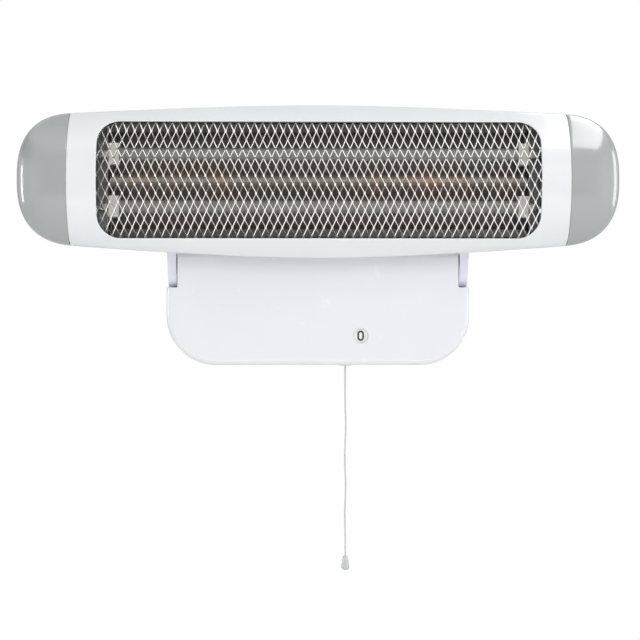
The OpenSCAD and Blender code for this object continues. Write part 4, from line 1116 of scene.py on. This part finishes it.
def make_base():
    rings = []

    def add(y, i, j):
        rings.append([(x, y, z) for x, z in base_outline(i, j)])

    add(0.0, 0.35, 0.35)
    add(-0.35, 0.0, 0.0)
    for y in (-8, -16, -24, -32, -BASE_DEPTH + BASE_EDGE + 2):
        add(y, 0.0, 0.0)
    for k in range(11):
        a = math.radians(90 * k / 10)
        i = BASE_EDGE * (1 - math.cos(a))
        j = 1.2 * (1 - math.cos(a))
        add(-BASE_DEPTH + BASE_EDGE * (1 - math.sin(a)), i, j)
    add(-BASE_DEPTH, BASE_EDGE + 0.8, 1.6)
    n = len(rings[0])
    verts = [v for ring in rings for v in ring]
    faces = []
    for a in range(len(rings) - 1):
        for b in range(n):
            c = (b + 1) % n
            faces.append((a * n + b, a * n + c, (a + 1) * n + c, (a + 1) * n + b))
    last = len(rings) - 1
    faces.append(tuple(last * n + b for b in range(n)))
    # Inner side of the wall
    k0 = len(verts)
    inner = [(0.0, WALL, WALL), (-BASE_DEPTH + BASE_EDGE + 1, WALL, WALL),
             (-BASE_DEPTH + WALL, BASE_EDGE, BASE_EDGE)]
    for y, i, j in inner:
        verts.extend((x, y, z) for x, z in base_outline(i, j))
    for a in range(len(inner) - 1):
        for b in range(n):
            c = (b + 1) % n
            faces.append((k0 + a * n + b, k0 + (a + 1) * n + b, k0 + (a + 1) * n + c, k0 + a * n + c))
    faces.append(tuple(k0 + (len(inner) - 1) * n + b for b in reversed(range(n))))
    for b in range(n):
        c = (b + 1) % n
        faces.append((b, k0 + b, k0 + c, c))
    return recalc(new_object("base_skin", verts, faces))


def cylinder_cutter(name, rods):
    """Rods (axis, centre, diameter, start, end) along x, y or z, as one mesh."""
    verts, faces = [], []
    for axis, c, d, start, end in rods:
        spot = "xyz".index(axis)
        ends = []
        for along in (start, end):
            ring = [list(p) for p in circle(c[0], c[1], d, 48)]
            for p in ring:
                p.insert(spot, along)
            ends.append([tuple(p) for p in ring])
        add_prism(verts, faces, ends[0], ends[1])
    return recalc(new_object(name, verts, faces, False))


WIN_X = SWITCH_X + WINDOW_R * math.sin(math.radians(WINDOW_TURN))
WIN_Z = SWITCH_Z - WINDOW_R * math.cos(math.radians(WINDOW_TURN))
base = make_base()
cutters = cylinder_cutter("base_cutters", [
    ("y", (WIN_X, WIN_Z), WINDOW_D + 0.2, -60, -30),
    ("z", (CORD_X, DRUM_Y), BUSH_D, -60, -45),
    ("x", (HINGE_Y, HINGE_Z), ARM_BOSS_D, 138, 150),
    ("x", (HINGE_Y, HINGE_Z), ARM_BOSS_D, -150, -138),
])
base = dress(cut(base, cutters, "base_shell_smooth"), BASE)
sharp_by_angle(base, 30)
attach(base, "base")
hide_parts("base_front_shell")


# Window over the switch's disc
lens_profile = [(0.0, -47.72), (5.0, -47.7), (6.9, -47.62), (7.35, -47.45), (7.55, -47.1), (7.6, -46.6),
                (7.6, -44.9), (7.4, -44.7), (0.0, -44.7)]
lens = dress(lathe("window_lens", lens_profile, "y", (WIN_X, 0.0, WIN_Z), 72), LENS)
sharp_by_angle(lens, 60)
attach(lens, "base")
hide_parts("indicator_window")


# Other pieces keep their solids, with finished materials and softened edges
def refine(name, mat, edge=0.0, angle=35.0):
    obj = nodes[name]
    for s in obj.material_slots:
        s.material = mat
    if not obj.material_slots:
        obj.data.materials.append(mat)
    if edge:
        weld = obj.modifiers.new("weld", "WELD")
        weld.merge_threshold = 0.00001
        flat = obj.modifiers.new("flat", "DECIMATE")
        flat.decimate_type = "DISSOLVE"
        flat.angle_limit = math.radians(1.0)
        bevel = obj.modifiers.new("edges", "BEVEL")
        bevel.width = edge * MM
        bevel.segments = 3
        bevel.limit_method = "ANGLE"
        bevel.angle_limit = math.radians(angle)
        bevel.harden_normals = False


FINISH = {
    "heat_shield": (STEEL, 0.0), "shield_screws": (SCREW, 0.0),
    "tube_bracket_left": (STEEL, 0.0), "tube_bracket_right": (STEEL, 0.0),
    "ceramic_ends_left": (CERAMIC, 0.5), "ceramic_ends_right": (CERAMIC, 0.5),
    "tube_terminals": (TERMINAL, 0.15), "head_terminal_block": (BLOCK_CERAMIC, 0.4),
    "thermal_cutout": (CUTOUT, 0.3), "head_wires": (SLEEVE, 0.0), "hinge_lead": (LEAD, 0.0),
    "shell_screws": (SCREW, 0.25), "arm_left": (ARM, 0.8), "arm_right": (ARM, 0.8),
    "arm_cover_left": (ARM, 0.25), "arm_cover_right": (ARM, 0.25), "arm_screws": (SCREW, 0.25),
    "pivot_sleeve_left": (STEEL, 0.0), "pivot_sleeve_right": (STEEL, 0.0),
    "spring_washers": (SPRING, 0.0), "pivot_nuts": (STEEL, 0.3), "friction_washers": (FIBRE, 0.0),
    "pivot_bracket_left": (STEEL, 0.2), "pivot_bracket_right": (STEEL, 0.2),
    "bracket_screws": (SCREW, 0.2), "base_back_plate": (PLATE, 0.5), "base_screws": (SCREW, 0.25),
    "indicator_disc": (DISC, 0.0), "indicator_numerals": (INK, 0.0), "switch_spindle": (SWITCH, 0.0),
    "switch_housing": (SWITCH, 0.3), "switch_cover": (SWITCH, 0.3), "switch_contacts": (BRASS, 0.15),
    "switch_screws": (SCREW, 0.2), "return_spring": (SPRING, 0.0), "cord_drum": (DRUM, 0.2),
    "drum_winding": (CORD, 0.0), "cord_bush": (BASE, 0.3), "mains_terminal_block": (BLOCK, 0.4),
    "cable_grommet": (GROMMET, 0.4), "base_wires": (WIRE, 0.0), "base_lead": (LEAD, 0.0),
}
for name, (mat, edge) in FINISH.items():
    refine(name, mat, edge)


# Stage and light
def stage_material(name, color, to_metal):
    """Pale surface that is plain white to the camera, through glass and, if asked, to metal."""
    m = bpy.data.materials.new(name)
    m.use_nodes = True
    nt = m.node_tree
    nt.nodes.clear()
    out = nt.nodes.new("ShaderNodeOutputMaterial")
    diffuse = nt.nodes.new("ShaderNodeBsdfDiffuse")
    diffuse.inputs["Color"].default_value = (*color, 1.0)
    path = nt.nodes.new("ShaderNodeLightPath").outputs
    seen = combine(nt, "MAXIMUM", path["Is Camera Ray"], path["Is Transmission Ray"])
    if to_metal:
        seen = combine(nt, "MAXIMUM", seen, path["Is Glossy Ray"])
    white = glow(nt, "ShaderNodeEmission", 1.0)
    nt.links.new(mix_shaders(nt, seen, diffuse.outputs[0], white), out.inputs["Surface"])
    return m


def plane(name, corners, mat):
    obj = new_object(name, corners, [(0, 1, 2, 3)], False)
    dress(obj, mat)
    return obj


REACH = 4000
FLOOR_Z = -900
BACK_Y = 2500
STAGE_TOP = 3500
PALE = (0.80, 0.80, 0.80)
plane("floor", [(-REACH, -REACH, FLOOR_Z), (REACH, -REACH, FLOOR_Z), (REACH, BACK_Y, FLOOR_Z),
                (-REACH, BACK_Y, FLOOR_Z)], stage_material("floor_pale", PALE, True))
plane("backdrop", [(-REACH, BACK_Y, FLOOR_Z), (REACH, BACK_Y, FLOOR_Z), (REACH, BACK_Y, STAGE_TOP),
                   (-REACH, BACK_Y, STAGE_TOP)], stage_material("backdrop_pale", PALE, False))

# World: white to the camera and even to diffuse rays. Glossy rays see a room with bands of
# (height of the direction, level), which is dim behind the camera and whose bands pale to the right
ROOM_BANDS = ((-0.62, 1.0), (-0.54, 0.30), (-0.42, 0.30), (-0.34, 1.0), (0.22, 1.0), (0.34, 0.10),
              (0.60, 0.10), (0.70, 1.0), (0.86, 1.0), (0.94, 0.25))
ROOM_LEVEL = 1.25
EVEN_LEVEL = 0.64
world = bpy.data.worlds.new("studio")
bpy.context.scene.world = world
world.use_nodes = True
wt = world.node_tree
wt.nodes.clear()
direction = wt.nodes.new("ShaderNodeSeparateXYZ")
wt.links.new(wt.nodes.new("ShaderNodeTexCoord").outputs["Generated"], direction.inputs["Vector"])
behind = map_range(wt, direction.outputs["Y"], -1.0, -0.70, 0.15, 1.0)
behind.interpolation_type = "SMOOTHSTEP"
height = map_range(wt, direction.outputs["Z"], -1.0, 1.0)
bands = ramp(world, height.outputs["Result"], [((1 + z) / 2, (level,) * 3) for z, level in ROOM_BANDS])
fade = map_range(wt, direction.outputs["X"], -0.79, -0.60, 0.0, 0.45)
pale_bands = mix_colors(wt, fade.outputs["Result"], bands, WHITE)
room = combine(wt, "MULTIPLY", behind.outputs["Result"], pale_bands)
room = glow(wt, "ShaderNodeBackground", combine(wt, "MULTIPLY", room, ROOM_LEVEL))
path = wt.nodes.new("ShaderNodeLightPath").outputs
seen = mix_shaders(wt, path["Is Camera Ray"], room, glow(wt, "ShaderNodeBackground", 1.0))
seen = mix_shaders(wt, path["Is Diffuse Ray"], seen, glow(wt, "ShaderNodeBackground", EVEN_LEVEL))
wt.links.new(seen, wt.nodes.new("ShaderNodeOutputWorld").inputs["Surface"])


def softbox(name, place, aim, width, height, power):
    """Area light at place, turned towards aim, in metres and watts."""
    data = bpy.data.lights.new(name, "AREA")
    data.shape = "RECTANGLE"
    data.size = width
    data.size_y = height
    data.energy = power
    obj = bpy.data.objects.new(name, data)
    bpy.context.scene.collection.objects.link(obj)
    obj.location = place
    obj.rotation_euler = (Vector(aim) - Vector(place)).to_track_quat("-Z", "Y").to_euler()
    return obj


# Softboxes that light the plastic: a large one from above, a low one, and a weak one from the right
for name, place, aim, width, height, power in (
        ("key", (0.3, -2.6, 0.7), (0, 0, 0.05), 1.5, 1.0, 16.5),
        ("low", (-0.2, -2.0, -0.72), (0, 0, 0.05), 1.8, 0.25, 7.5),
        ("fill_right", (2.2, -1.1, 1.1), (0.2, 0, 0.12), 0.8, 0.8, 10.0)):
    softbox(name, place, aim, width, height, power).visible_glossy = False
# Softboxes that only show as reflections: one over the right end, a tall one on each side
for name, place, aim, width, height, power in (
        ("over_right", (1.10, -0.45, 1.9), (1.10, -0.449, 0.0), 1.08, 3.0, 74.0),
        ("side_right", (2.2, 0.25, 0.35), (0.0, 0.25, 0.35), 0.75, 1.25, 13.0),
        ("side_left", (-2.2, 0.05, 0.17), (0.0, 0.05, 0.17), 0.25, 0.7, 11.0)):
    softbox(name, place, aim, width, height, power).visible_diffuse = False

bpy.context.scene.view_settings.view_transform = "Standard"
